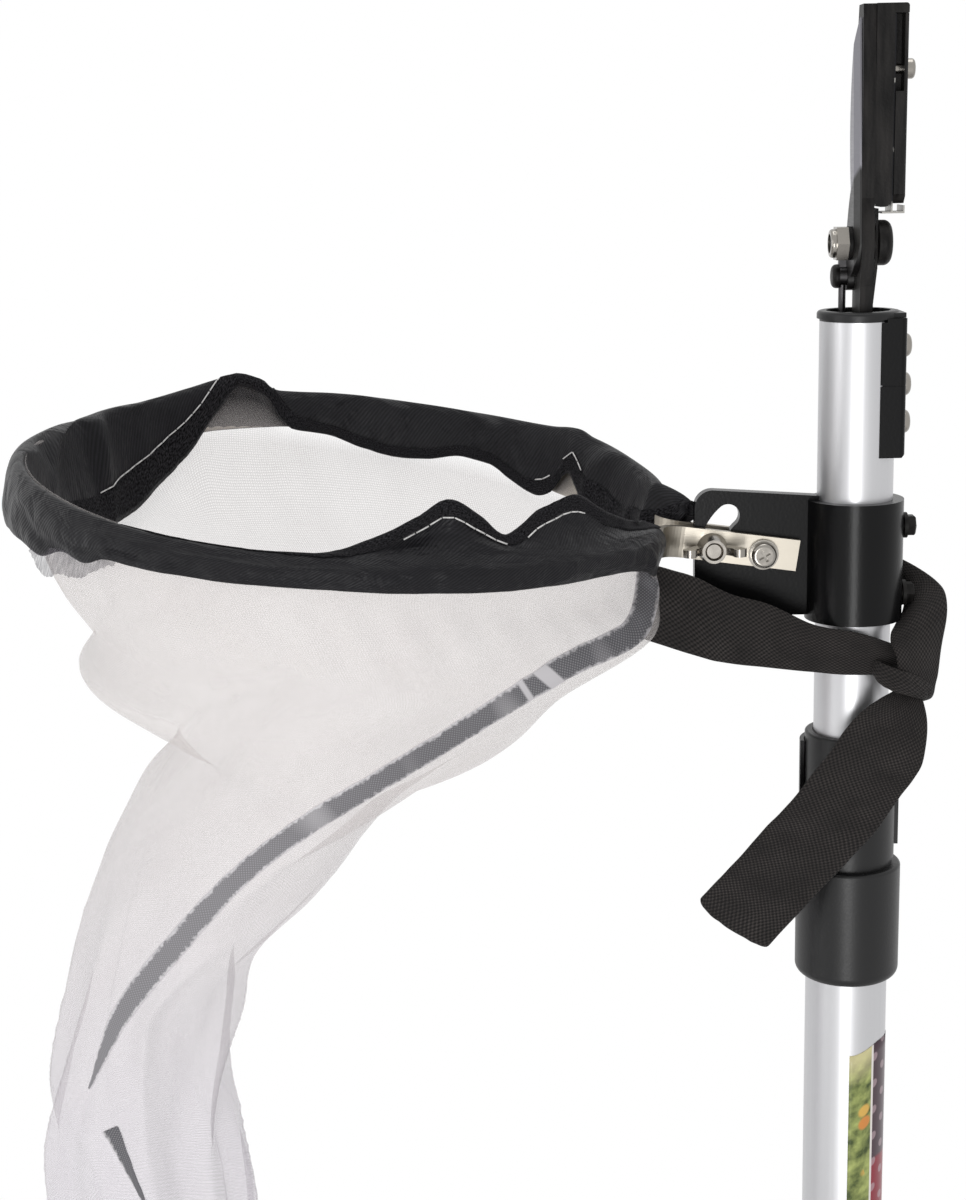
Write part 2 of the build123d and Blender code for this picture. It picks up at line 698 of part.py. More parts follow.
# Trigger: boss behind the pole, arm through it, and a lever bent down along the grip
bar = trigger_bar_h / 2
lever_in = trigger_reach
lever_out = trigger_reach + trigger_blade_t
with BuildPart() as trigger:
    with BuildSketch(facing_front(trigger_t / 2, z=trigger_z)):
        with BuildLine():
            Line((-trigger_arm, bar), (lever_in - 12.0, bar))
            ThreePointArc((lever_in - 12.0, bar), (lever_out - 5.0, bar - 6.0), (lever_out, bar - 20.0))
            Line((lever_out, bar - 20.0), (lever_out + 2.0, -trigger_length))
            ThreePointArc(
                (lever_out + 2.0, -trigger_length),
                (lever_in + 6.5, -trigger_length - 3.5),
                (lever_in + 3.0, -trigger_length),
            )
            ThreePointArc((lever_in + 3.0, -trigger_length), (lever_in - 1.0, -0.64 * trigger_length), (lever_in, -bar - 14.0))
            ThreePointArc((lever_in, -bar - 14.0), (lever_in - 4.0, -bar - 4.0), (lever_in - 14.0, -bar))
            Line((lever_in - 14.0, -bar), (-trigger_arm, -bar))
            Line((-trigger_arm, -bar), (-trigger_arm, bar))
        make_face()
        with Locations((-trigger_arm, 0)):
            Circle(trigger_boss_r)
    extrude(amount=trigger_t)
    with BuildSketch(facing_front(trigger_pad_w / 2, z=trigger_z)):
        with BuildLine():
            Line((lever_out - 1.0, -trigger_pad_top), (lever_out + 2.0, -trigger_length))
            ThreePointArc(
                (lever_out + 2.0, -trigger_length),
                (lever_in + 6.5, -trigger_length - 3.5),
                (lever_in + 3.0, -trigger_length),
            )
            ThreePointArc(
                (lever_in + 3.0, -trigger_length),
                (lever_in - 0.8, -0.64 * trigger_length),
                (lever_in + 0.2, -trigger_pad_top),
            )
            Line((lever_in + 0.2, -trigger_pad_top), (lever_out - 1.0, -trigger_pad_top))
        make_face()
    extrude(amount=trigger_pad_w)
    fillet(trigger.faces().sort_by(Axis.Y)[0].edges(), 1.6)
    fillet(trigger.faces().sort_by(Axis.Y)[-1].edges(), 1.6)
    with BuildSketch(facing_front(trigger_t / 2, z=trigger_z)):
        with Locations((-trigger_arm, 0)):
            Circle(trigger_pin_r + fit_gap)
        SlotOverall(2 * yoke_pin_r + 1.6, 2 * (yoke_pin_r + yoke_slack))
    extrude(amount=trigger_t, mode=Mode.SUBTRACT)
save(trigger, "trigger")

with BuildPart() as trigger_pin:
    with BuildSketch(facing_front(shell_half_y - shell_wall, x=-trigger_arm, z=trigger_z)):
        Circle(trigger_pin_r)
    extrude(amount=2 * (shell_half_y - shell_wall))
save(trigger_pin, "trigger_pin")

# Handle shells: two mouldings that meet in the plane of the trigger
shell_mid_x = (shell_x[0] + shell_x[1]) / 2
shell_screw_x = (-trigger_arm - 2.6, shell_x[1] - 3.6)
shell_screw_z = (shell_bottom + 9.0, shell_top - 9.0)
shell_screws = [(x, z) for x in shell_screw_x for z in shell_screw_z]
arm_slot_low = trigger_z - trigger_boss_r - slide_gap
arm_slot_high = trigger_z + bar + (trigger_arm + shell_x[1]) * sin(radians(trigger_swing)) + 1.0


def handle_shell(keep):
    """Half of the handle housing, on one side of the plane of the trigger."""
    with BuildPart() as shell:
        with BuildSketch(level(shell_bottom)):
            with Locations((shell_mid_x, 0)):
                RectangleRounded(shell_x[1] - shell_x[0], 2 * shell_half_y, shell_corner)
        extrude(amount=shell_top - shell_bottom)
        fillet(shell.edges().group_by(Axis.Z)[-1] + shell.edges().group_by(Axis.Z)[0], shell_edge)
        with BuildSketch(level(shell_bottom)):
            Circle(shell_bore)
        extrude(amount=shell_top - shell_bottom, mode=Mode.SUBTRACT)
        with BuildSketch(facing_front(slot_w / 2)):
            with BuildLine():
                Polyline(
                    (shell_x[0] + shell_wall, arm_slot_low),
                    (shell_x[1] + 1.0, arm_slot_low - 6.0),
                    (shell_x[1] + 1.0, arm_slot_high),
                    (shell_x[0] + shell_wall, arm_slot_low + 2 * trigger_boss_r + 2 * slide_gap),
                    close=True,
                )
            make_face()
        extrude(amount=slot_w, mode=Mode.SUBTRACT)
        with BuildSketch(facing_front(shell_half_y - shell_wall)):
            with Locations((-trigger_arm, trigger_z)):
                Circle(trigger_pin_r + fit_gap)
        extrude(amount=2 * (shell_half_y - shell_wall), mode=Mode.SUBTRACT)
        with BuildSketch(facing_front(shell_half_y - 2 * shell_wall)):
            with Locations(*shell_screws):
                Circle(shell_screw_r + fit_gap)
        extrude(amount=2 * shell_half_y, mode=Mode.SUBTRACT)
        with BuildSketch(facing_front(-shell_half_y + 2 * shell_wall)):
            with Locations(*shell_screws):
                Circle(shell_screw_head_r + fit_gap)
        extrude(amount=3 * shell_wall, mode=Mode.SUBTRACT)
        split(bisect_by=Plane.XZ, keep=keep)
    return shell


handle_front = handle_shell(Keep.TOP)
save(handle_front, "handle_front")
handle_back = handle_shell(Keep.BOTTOM)
save(handle_back, "handle_back")

with BuildPart() as handle_screws:
    for x, z in shell_screws:
        with BuildSketch(facing_front(shell_half_y - 2 * shell_wall - seat_gap, x=x, z=z)):
            Circle(shell_screw_r)
        extrude(amount=2 * shell_half_y - 4 * shell_wall - seat_gap)
        with BuildSketch(facing_front(-shell_half_y + 2 * shell_wall - seat_gap / 2, x=x, z=z)):
            Circle(shell_screw_head_r)
        extrude(amount=shell_screw_head_h)
save(handle_screws, "handle_screws")

# Foam grip: barrel on the outer tube under the handle shells
grip_mid = (grip_bottom + grip_top) / 2
grip_r = shell_bore + grip_wall
with BuildPart() as grip_sleeve:
    with BuildSketch(Plane.XZ):
        with BuildLine():
            Line((shell_bore, grip_bottom), (grip_r - 1.0, grip_bottom))
            ThreePointArc((grip_r - 1.0, grip_bottom), (grip_r, grip_mid), (grip_r - 1.0, grip_top))
            Line((grip_r - 1.0, grip_top), (shell_bore, grip_top))
            Line((shell_bore, grip_top), (shell_bore, grip_bottom))
        make_face()
    revolve(axis=Axis.Z)
    fillet(grip_sleeve.edges().group_by(Axis.Z)[0].sort_by(SortBy.RADIUS)[-1], 1.2)
    fillet(grip_sleeve.edges().group_by(Axis.Z)[-1].sort_by(SortBy.RADIUS)[-1], 1.2)
save(grip_sleeve, "grip_sleeve")

# End cap: cup over the foot of the outer tube, with an eye to hang the pole by
with BuildPart() as end_cap:
    with BuildSketch(level(-butt_half_h)):
        Circle(butt_r)
    extrude(amount=2 * butt_half_h)
    chamfer(end_cap.edges().group_by(Axis.Z)[-1] + end_cap.edges().group_by(Axis.Z)[0], 1.0)
    with BuildSketch(level(outer_bottom)):
        Circle(outer_r + fit_gap)
    extrude(amount=butt_half_h - outer_bottom, mode=Mode.SUBTRACT)
    with BuildSketch(facing_front(hang_half_t, z=-butt_half_h)):
        with Locations((0, -hang_drop / 2)):
            Rectangle(2 * hang_eye_r, hang_drop)
        with Locations((0, -hang_drop)):
            Circle(hang_eye_r)
            Circle(hang_hole_r, mode=Mode.SUBTRACT)
        with Locations((0, hang_eye_r / 2 + 2.0)):
            Rectangle(2 * hang_eye_r, hang_eye_r + 4.0, mode=Mode.SUBTRACT)
        with Locations((0, 1.0)):
            Rectangle(2 * hang_eye_r, 2.0)
    extrude(amount=2 * hang_half_t)
save(end_cap, "end_cap")

# Collar: neck with a window for the brake shoe, groove, and a sleeve over the outer tube
lever_pin_at = collar_neck_r + lever_barrel_r + 2 * slide_gap
lever_pin_x = lever_pin_at * cos(radians(lever_angle))
lever_pin_y = lever_pin_at * sin(radians(lever_angle))
with BuildPart() as collar_body:
    with BuildSketch(level(groove_top)):
        Circle(collar_neck_r)
    extrude(amount=collar_neck_h)
    fillet(collar_body.edges().group_by(Axis.Z)[-1], 0.8)
    with BuildSketch(level(sleeve_top)):
        Circle(collar_neck_r - collar_groove_cut)
    extrude(amount=collar_groove_h)
    with BuildSketch(level(collar_bottom)):
        Circle(collar_sleeve_r)
    extrude(amount=collar_sleeve_h)
    fillet(collar_body.edges().group_by(Axis.Z)[0], 3.4)
    fillet(collar_body.edges().filter_by_position(Axis.Z, sleeve_top, sleeve_top).sort_by(SortBy.RADIUS)[-1], 1.2)
    for lug_z in (collar_top - lever_lug_h, groove_top):
        with BuildSketch(level(lug_z)):
            with Locations(Location((0, 0, 0), (0, 0, lever_angle))):
                with Locations((lever_pin_at / 2, 0)):
                    Rectangle(lever_pin_at, 2 * lever_barrel_r)
                with Locations((lever_pin_at, 0)):
                    Circle(lever_barrel_r)
        extrude(amount=lever_lug_h)
    with BuildSketch(level(groove_top + lever_lug_h)):
        with Locations((collar_neck_r - 0.5, 0)):
            Rectangle(2 * lever_t + 1.0, 2.4)
    extrude(amount=collar_neck_h - 2 * lever_lug_h)
    with BuildSketch(level(outer_top)):
        Circle(outer_bore)
    extrude(amount=collar_neck_h, mode=Mode.SUBTRACT)
    with BuildSketch(level(collar_bottom)):
        Circle(outer_r + fit_gap)
    extrude(amount=outer_top - collar_bottom, mode=Mode.SUBTRACT)
    shoe_z = groove_top + collar_neck_h / 2
    with BuildSketch(Plane(origin=(0, 0, shoe_z), x_dir=(-sin(radians(lever_angle)), cos(radians(lever_angle)), 0),
                           z_dir=(cos(radians(lever_angle)), sin(radians(lever_angle)), 0))):
        Rectangle(shoe_w, shoe_h)
    extrude(amount=collar_sleeve_r, mode=Mode.SUBTRACT)
    with BuildSketch(level(groove_top)):
        with Locations((lever_pin_x, lever_pin_y)):
            Circle(lever_pin_r + fit_gap)
    extrude(amount=collar_neck_h, mode=Mode.SUBTRACT)
save(collar_body, "collar_body")

# Brake shoe in the collar's window
with BuildPart() as brake_shoe:
    with BuildSketch(level(shoe_z - shoe_h / 2 + seat_gap)):
        with Locations(Location((0, 0, 0), (0, 0, lever_angle))):
            with Locations((collar_neck_r, 0)):
                Rectangle(2 * collar_neck_wall, shoe_w - 2 * seat_gap)
        Circle(outer_bore, mode=Mode.SUBTRACT)
    extrude(amount=shoe_h - 2 * seat_gap)
    with BuildSketch(level(shoe_z - shoe_h / 2)):
        Circle(2 * collar_sleeve_r)
        Circle(collar_neck_r - seat_gap, mode=Mode.SUBTRACT)
    extrude(amount=shoe_h, mode=Mode.SUBTRACT)
save(brake_shoe, "brake_shoe")

# Cam lever round the back of the collar's neck, and its pin
lever_low = groove_top + lever_lug_h + slide_gap
lever_high = collar_top - lever_lug_h - slide_gap
lever_in_r = collar_neck_r + slide_gap
with BuildPart() as lock_lever:
    with BuildSketch(level(lever_low)):
        with BuildLine():
            wrap_in = CenterArc((0, 0), lever_in_r, lever_angle, lever_wrap)
            wrap_out = CenterArc((0, 0), lever_in_r + lever_t, lever_angle, lever_wrap)
            Line(wrap_in @ 0, wrap_out @ 0)
            Line(wrap_in @ 1, wrap_out @ 1)
        make_face()
        with Locations((lever_pin_x, lever_pin_y)):
            Circle(lever_barrel_r)
            Circle(lever_pin_r + fit_gap, mode=Mode.SUBTRACT)
    extrude(amount=lever_high - lever_low)
save(lock_lever, "lock_lever")

with BuildPart() as lever_pin:
    with BuildSketch(level(groove_top)):
        with Locations((lever_pin_x, lever_pin_y)):
            Circle(lever_pin_r)
    extrude(amount=collar_neck_h)
save(lever_pin, "lever_pin")

# Net bracket: clamp ring and an ear with a curved slot for the wing bolt
slot_start = 180.0 - hoop_tilt + tilt_down
slot_sweep = -(tilt_down + tilt_up)
slot_line = CenterArc((hoop_pivot_x, hoop_pivot_z), wing_arm, slot_start, slot_sweep)
with BuildPart() as net_bracket:
    with BuildSketch(facing_front(ear_t / 2)):
        Polygon(
            (ear_x, cap_top - ear_bottom),
            (0, cap_top - ear_bottom),
            (0, cap_top - ear_top - ear_fall),
            (ear_x, cap_top - ear_top),
            align=None,
        )
    extrude(amount=ear_t)
    fillet(net_bracket.edges().filter_by(Axis.Y).group_by(Axis.X)[0], ear_corner)
    with BuildSketch(level(bracket_bottom)):
        Circle(bracket_r)
    extrude(amount=bracket_h)
    with BuildSketch(level(cap_top - ear_bottom)):
        Circle(inner_r + fit_gap)
    extrude(amount=2 * bracket_h, both=True, mode=Mode.SUBTRACT)
    with BuildSketch(facing_front(ear_t / 2)):
        SlotArc(slot_line, 2 * (wing_bolt_r + slot_clear))
        with Locations((hoop_pivot_x, hoop_pivot_z)):
            Circle(hoop_screw_r + fit_gap)
    extrude(amount=ear_t, mode=Mode.SUBTRACT)
    with BuildSketch(Plane.YZ):
        with Locations(*[(0, cap_top - drop) for drop in clamp_screw_drops]):
            Circle(clamp_screw_r + fit_gap)
    extrude(amount=2 * bracket_r, mode=Mode.SUBTRACT)
save(net_bracket, "net_bracket")

# Clamp screws of the bracket: flange, hexagon and a short shank in the ring's wall
flange_x = bracket_r + fit_gap
with BuildPart() as clamp_screws:
    for drop in clamp_screw_drops:
        with BuildSketch(facing_right(inner_r + fit_gap, z=cap_top - drop)):
            Circle(clamp_screw_r)
        extrude(amount=flange_x - inner_r)
        with BuildSketch(facing_right(flange_x, z=cap_top - drop)):
            Circle(clamp_flange_r)
        extrude(amount=clamp_flange_h)
        with BuildSketch(facing_right(flange_x + clamp_flange_h, z=cap_top - drop)):
            RegularPolygon(clamp_hex_af / 2, 6, major_radius=False)
        extrude(amount=clamp_hex_h)
    chamfer(clamp_screws.edges().group_by(Axis.X)[-1], 0.5)
save(clamp_screws, "clamp_screws")

# Hoop: flat strip bent to a ring whose two ends turn out and lie on both faces of the ear
tilt = radians(hoop_tilt)
lean = radians(hoop_lean)
hoop_x = Vector(cos(tilt), 0, -sin(tilt))
hoop_z = Vector(sin(tilt) * cos(lean), -sin(lean), cos(tilt) * cos(lean))
hoop_plane = Plane(origin=Vector(hoop_pivot_x, 0, hoop_pivot_z) + hoop_rise * hoop_z, x_dir=hoop_x, z_dir=hoop_z)
bend_x = sqrt((hoop_r + hoop_bend_r) ** 2 - (hoop_tab_y + hoop_bend_r) ** 2) - hoop_centre
bend_angle = degrees(atan2(hoop_tab_y + hoop_bend_r, bend_x + hoop_centre))
ring_mid = (-hoop_centre, 0)
bend_turn = 90.0 - bend_angle
with BuildPart() as hoop_strip:
    with BuildLine(hoop_plane):
        Line((hoop_tab_end, -hoop_tab_y), (bend_x, -hoop_tab_y))
        CenterArc((bend_x, -hoop_tab_y - hoop_bend_r), hoop_bend_r, 90, bend_turn)
        CenterArc(ring_mid, hoop_r, -bend_angle, -(360 - 2 * bend_angle))
        CenterArc((bend_x, hoop_tab_y + hoop_bend_r), hoop_bend_r, 180 + bend_angle, bend_turn)
        Line((bend_x, hoop_tab_y), (hoop_tab_end, hoop_tab_y))
    tab_start = hoop_plane.from_local_coords((hoop_tab_end, -hoop_tab_y, 0))
    with BuildSketch(Plane(origin=tab_start, x_dir=hoop_z, z_dir=-hoop_x)):
        Rectangle(hoop_strip_w, hoop_strip_t)
    sweep()
    wing_x = hoop_pivot_x - wing_arm * cos(tilt)
    wing_z = hoop_pivot_z + wing_arm * sin(tilt)
    with BuildSketch(Plane.XZ):
        with Locations((hoop_pivot_x, hoop_pivot_z)):
            Circle(hoop_screw_r + slide_gap)
        with Locations((wing_x, wing_z)):
            Circle(wing_bolt_r + slide_gap)
    extrude(amount=3 * hoop_tab_y, both=True, mode=Mode.SUBTRACT)
save(hoop_strip, "hoop_strip")

# Pivot screw of the hoop with its washer, and its nut behind the ear
with BuildPart() as hoop_screw:
    with BuildSketch(facing_front(-tab_face_y - hoop_washer_t, x=hoop_pivot_x, z=hoop_pivot_z)):
        Circle(hoop_head_r)
    extrude(amount=hoop_head_h)
    fillet(hoop_screw.edges().group_by(Axis.Y)[0], 1.3)
    with BuildSketch(facing_front(-tab_face_y, x=hoop_pivot_x, z=hoop_pivot_z)):
        Circle(hoop_washer_r)
    extrude(amount=hoop_washer_t)
    with BuildSketch(facing_front(tab_face_y + 6.0, x=hoop_pivot_x, z=hoop_pivot_z)):
        Circle(hoop_screw_r)
    extrude(amount=2 * tab_face_y + 6.0)
    head_face = -tab_face_y - hoop_washer_t - hoop_head_h
    with BuildSketch(facing_front(head_face, x=hoop_pivot_x, z=hoop_pivot_z)):
        Rectangle(recess_len, recess_w, rotation=30)
        Rectangle(recess_w, recess_len, rotation=30)
    extrude(amount=-recess_d, mode=Mode.SUBTRACT)
save(hoop_screw, "hoop_screw")

with BuildPart() as hoop_nut:
    with BuildSketch(facing_front(tab_face_y + 4.5, x=hoop_pivot_x, z=hoop_pivot_z)):
        RegularPolygon(4.0, 6, major_radius=False)
        Circle(hoop_screw_r + fit_gap, mode=Mode.SUBTRACT)
    extrude(amount=4.5)
    chamfer(hoop_nut.edges().group_by(Axis.Y)[-1].filter_by(GeomType.LINE), 0.4)
save(hoop_nut, "hoop_nut")

# Wing bolt through both ends of the hoop, and the wing nut in front
with BuildPart() as wing_bolt:
    with BuildSketch(facing_front(tab_face_y + 4.0, x=wing_x, z=wing_z)):
        RegularPolygon(5.0, 6, major_radius=False)
    extrude(amount=4.0)
    with BuildSketch(facing_front(tab_face_y, x=wing_x, z=wing_z)):
        Circle(wing_bolt_r)
    extrude(amount=2 * tab_face_y + wing_hub_h - wing_bolt_set)
    chamfer(wing_bolt.edges().group_by(Axis.Y)[0], 0.6)
save(wing_bolt, "wing_bolt")

with BuildPart() as wing_nut:
    with BuildSketch(facing_front(-tab_face_y, x=wing_x, z=wing_z)):
        Circle(wing_hub_r)
    extrude(amount=wing_hub_h, taper=10)
    for side in (-1, 1):
        root = Vector(wing_x, -tab_face_y)
        inner_low = root + Vector(side * 2.0, -1.0)
        inner_high = root + Vector(side * 2.0, 1.0 - wing_hub_h)
        tip_in = root + Vector(side * (wing_span - 4.2), -wing_h - 0.4)
        tip_out = root + Vector(side * wing_span, -wing_h + 1.6)
        heel = root + Vector(side * wing_hub_r, -1.0)
        with BuildSketch(level(wing_z - wing_t / 2)):
            with BuildLine():
                Line(inner_low, inner_high)
                ThreePointArc(inner_high, root + Vector(side * 4.4, -wing_hub_h + 0.6), tip_in)
                ThreePointArc(tip_in, root + Vector(side * (wing_span - 1.0), -wing_h - 0.9), tip_out)
                ThreePointArc(tip_out, root + Vector(side * (wing_span - 2.6), -4.0), heel)
                Line(heel, inner_low)
            make_face()
        extrude(amount=wing_t)
    with BuildSketch(facing_front(-tab_face_y, x=wing_x, z=wing_z)):
        Circle(wing_bolt_r + fit_gap)
    extrude(amount=2 * wing_hub_h, mode=Mode.SUBTRACT)
save(wing_nut, "wing_nut")

# Fabric sleeve round the hoop, open at the ear
ring_centre = hoop_plane.from_local_coords((-hoop_centre, 0, 0))
sleeve_start = radians(sleeve_gap_angle)
sleeve_radial = hoop_plane.x_dir * cos(sleeve_start) + hoop_plane.y_dir * sin(sleeve_start)
with BuildPart() as net_sleeve:
    with BuildSketch(Plane(origin=ring_centre, x_dir=sleeve_radial, z_dir=sleeve_radial.cross(hoop_plane.z_dir))):
        with Locations((hoop_r, sleeve_rise)):
            RectangleRounded(sleeve_w, sleeve_h, 0.42 * sleeve_w)
        with Locations((hoop_r, 0)):
            Rectangle(hoop_strip_t + 2 * slide_gap, hoop_strip_w + 2 * slide_gap, mode=Mode.SUBTRACT)
    revolve(axis=Axis(ring_centre, hoop_plane.z_dir), revolution_arc=360 - 2 * sleeve_gap_angle)
save(net_sleeve, "net_sleeve")

# Net bag: funnel under the sleeve that narrows to a long tail, closed at its foot
# Each ring of the bag: its tilt, and as shares of the bag's top radius its middle's offset
# along X from the hoop's and its half widths along X and Y
bag_rings = (
    (6.0, 0.051, 0.947, 0.937),
    (3.0, -0.007, 0.860, 0.870),
    (0.0, -0.065, 0.638, 0.715),
    (0.0, -0.384, 0.425, 0.522),
    (0.0, -0.674, 0.309, 0.406),
    (0.0, -0.737, 0.357, 0.338),
    (0.0, -0.742, 0.309, 0.271),
    (0.0, -0.742, 0.213, 0.135),
)
bag_top = sleeve_rise - sleeve_h / 2 - slide_gap


def bag_solid(inset):
    """Solid funnel of the bag, drawn in all round by a wall."""
    with BuildPart() as funnel:
        with BuildSketch(hoop_plane.offset(bag_top)):
            with Locations((-hoop_centre, 0)):
                Circle(bag_top_r - inset)
        for drop, (turn, offset, wide, deep) in zip(bag_drops, bag_rings):
            side = radians(turn)
            foot = inset if drop == bag_drops[-1] else 0.0
            with BuildSketch(
                Plane(
                    origin=(ring_centre.X + offset * bag_top_r, 0, cap_top - drop + foot),
                    x_dir=(cos(side), 0, -sin(side)),
                    z_dir=(sin(side), 0, cos(side)),
                )
            ):
                Ellipse(wide * bag_top_r - inset, deep * bag_top_r - inset)
        loft(ruled=True)
    return funnel


bag_inside = bag_solid(bag_wall)
net_bag = bag_solid(0.0)
with net_bag:
    add(bag_inside.part, mode=Mode.SUBTRACT)
save(net_bag, "net_bag")

# Strap: loop round the inner tube, lead towards the net, knot at the right and a free tail in front
strap_front = inner_r + slide_gap + strap_t
loop_top = cap_top - strap_top
with BuildPart() as strap:
    with BuildSketch(level(loop_top - strap_h)):
        Circle(strap_front)
        Circle(inner_r + slide_gap, mode=Mode.SUBTRACT)
    extrude(amount=strap_h)
    with BuildSketch(facing_front(-strap_front + 0.4, z=loop_top)):
        with BuildLine():
            Polyline(*strap_lead_top, (strap_lead_top[-1][0], -strap_h), *strap_lead_low, close=True)
        make_face()
    extrude(amount=strap_t)
    with Locations((inner_r + knot_at[0], knot_at[1], loop_top + knot_at[2])):
        Box(*knot_size)
    fillet(strap.edges().filter_by(Axis.Y).group_by(Axis.X)[-1], knot_corner)
    with Locations((inner_r + riser_at[0], riser_at[1], loop_top + riser_at[2])):
        Box(*riser_size)
    with BuildSketch(facing_front(-tail_front, z=loop_top)):
        with BuildLine():
            Polyline(*strap_tail_line, close=True)
        make_face()
    extrude(amount=strap_t)
    with BuildSketch(level(loop_top)):
        Circle(inner_r + slide_gap)
    extrude(amount=3 * strap_h, both=True, mode=Mode.SUBTRACT)
save(strap, "strap")

# Corner of the strap that is sewn to the net
with BuildPart() as strap_corner:
    with BuildSketch(facing_front(-strap_front + 0.4, z=loop_top)):
        with BuildLine():
            Polyline(*strap_corner_line, close=True)
        make_face()
    extrude(amount=strap_t)
save(strap_corner, "strap_corner")
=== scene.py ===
# Telescopic fruit picker: the looks of its pole, cutting head, hoop, net and strap.
import math

import bmesh
import bpy
from mathutils import Matrix, Vector, noise
from mathutils.bvhtree import BVHTree


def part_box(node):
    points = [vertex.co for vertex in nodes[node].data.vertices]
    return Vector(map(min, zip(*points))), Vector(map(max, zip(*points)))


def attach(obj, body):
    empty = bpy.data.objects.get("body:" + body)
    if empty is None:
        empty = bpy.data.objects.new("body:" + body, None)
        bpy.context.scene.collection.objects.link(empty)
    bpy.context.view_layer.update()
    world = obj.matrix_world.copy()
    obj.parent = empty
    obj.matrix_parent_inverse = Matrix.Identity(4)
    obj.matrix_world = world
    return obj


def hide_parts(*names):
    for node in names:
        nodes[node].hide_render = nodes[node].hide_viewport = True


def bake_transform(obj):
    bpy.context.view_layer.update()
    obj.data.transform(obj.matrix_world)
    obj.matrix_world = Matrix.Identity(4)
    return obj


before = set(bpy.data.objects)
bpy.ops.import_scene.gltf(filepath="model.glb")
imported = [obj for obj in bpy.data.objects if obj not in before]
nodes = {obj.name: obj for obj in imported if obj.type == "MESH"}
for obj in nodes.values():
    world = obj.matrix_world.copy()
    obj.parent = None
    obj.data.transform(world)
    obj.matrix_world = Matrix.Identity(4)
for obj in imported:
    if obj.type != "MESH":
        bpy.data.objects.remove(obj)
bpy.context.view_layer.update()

mm = 0.001
cap_top = 1.150

# Hoop: the plane that the cloth follows, a degree or so off the strip's own plane, because the strip springs
hoop_tilt = math.radians(9.5)
hoop_lean = math.radians(3.2)
hoop_pivot = Vector((-0.030, 0.0, 1.0694))
hoop_reach = 0.1422  # from the pivot to the ring's middle
hoop_r = 0.1055
hoop_u = Vector((math.cos(hoop_tilt), 0, -math.sin(hoop_tilt)))
hoop_n = Vector((
    math.sin(hoop_tilt) * math.cos(hoop_lean),
    -math.sin(hoop_lean),
    math.cos(hoop_tilt) * math.cos(hoop_lean),
))
hoop_v = hoop_n.cross(hoop_u)
hoop_mid = hoop_pivot - hoop_reach * hoop_u
ring_end = 6.5  # angle where the ring runs out into its rear tab

# Camera: in front of the net, level with the cutter's foot, looking 12 degrees down with a slight roll
eye = Vector((-0.1243, -0.680, 1.2044))
look_down = math.radians(12.34)
look_roll = math.radians(1.16)
focal_pixels = 2072
photo_tall_pixels = 1200
sensor = 36.0


# ---------------------------------------------------------------- helpers


def linear(code):
    """An sRGB hex colour as the linear colour that a socket takes."""
    parts = [int(code[i:i + 2], 16) / 255 for i in (1, 3, 5)]
    return [c / 12.92 if c <= 0.04045 else ((c + 0.055) / 1.055) ** 2.4 for c in parts] + [1.0]


def fill(tree, node, inputs):
    """Fills a node's inputs, each a value, an output to link, or a node, for its Fac or else its first output."""
    for name, value in inputs.items():
        if isinstance(value, bpy.types.Node):
            value = value.outputs.get("Fac") or value.outputs[0]
        if isinstance(value, bpy.types.NodeSocket):
            tree.links.new(value, node.inputs[name])
        else:
            node.inputs[name].default_value = value


def add(tree, kind, inputs=None, stops=(), **settings):
    """A shader node with its inputs and settings. Stops are the places and colours of a ramp."""
    node = tree.nodes.new("ShaderNode" + kind)
    for name, value in settings.items():
        setattr(node, name, value)
    for i, (share, code) in enumerate(stops):
        node.color_ramp.elements[i].position = share
        node.color_ramp.elements[i].color = linear(code)
    fill(tree, node, inputs or {})
    return node


def finish(name, values, reads="Object"):
    """A new material, its tree, its surface with these constants set, and the place that its patterns read."""
    material = bpy.data.materials.new(name)
    material.use_nodes = True
    tree = material.node_tree
    surface = tree.nodes["Principled BSDF"]
    fill(tree, surface, values)
    return material, tree, surface, add(tree, "TexCoord").outputs[reads]


def on_hoop(angle, out, up):
    """Point at an angle round the hoop (0 at the pole, 90 at the back), mm out from the ring and up from its plane."""
    turn = math.radians(angle)
    arm = math.cos(turn) * hoop_u + math.sin(turn) * hoop_v
    return hoop_mid + (hoop_r + out * mm) * arm + up * mm * hoop_n


def at(x, y, up):
    """Point from mm right of the pole, mm behind it and mm above the cap's top (below is negative)."""
    return Vector((x * mm, y * mm, cap_top + up * mm))


def between(ends, share):
    """Value at a share of the way between two ends."""
    return ends[0] + (ends[1] - ends[0]) * share


def ripple(x, y=0.0, z=0.0):
    """Smooth noise at a place, about -1 to 1."""
    return noise.noise(Vector((x, y, z)))


def smooth_step(low, high, value):
    """0 below low and 1 above high, with a soft rise between them."""
    share = min(1.0, max(0.0, (value - low) / (high - low)))
    return share * share * (3 - 2 * share)


def track(rows, place):
    """The other columns of a table at a place between its rows, on a curve that doesn't overshoot."""
    place = min(max(place, rows[0][0]), rows[-1][0])
    i = max(k for k in range(len(rows) - 1) if rows[k][0] <= place)
    span = rows[i + 1][0] - rows[i][0]
    t = (place - rows[i][0]) / span
    values = []
    for c in range(1, len(rows[0])):
        slopes = []
        for k in (i, i + 1):
            if k in (0, len(rows) - 1):
                slopes.append(0.0)
                continue
            before = (rows[k][c] - rows[k - 1][c]) / (rows[k][0] - rows[k - 1][0])
            after = (rows[k + 1][c] - rows[k][c]) / (rows[k + 1][0] - rows[k][0])
            slopes.append(2 * before * after / (before + after) if before * after > 0 else 0.0)
        a, b = rows[i][c], rows[i + 1][c]
        values.append(
            a * (1 + 2 * t) * (1 - t) ** 2 + b * t * t * (3 - 2 * t)
            + span * (slopes[0] * t * (1 - t) ** 2 - slopes[1] * t * t * (1 - t))
        )
    return values


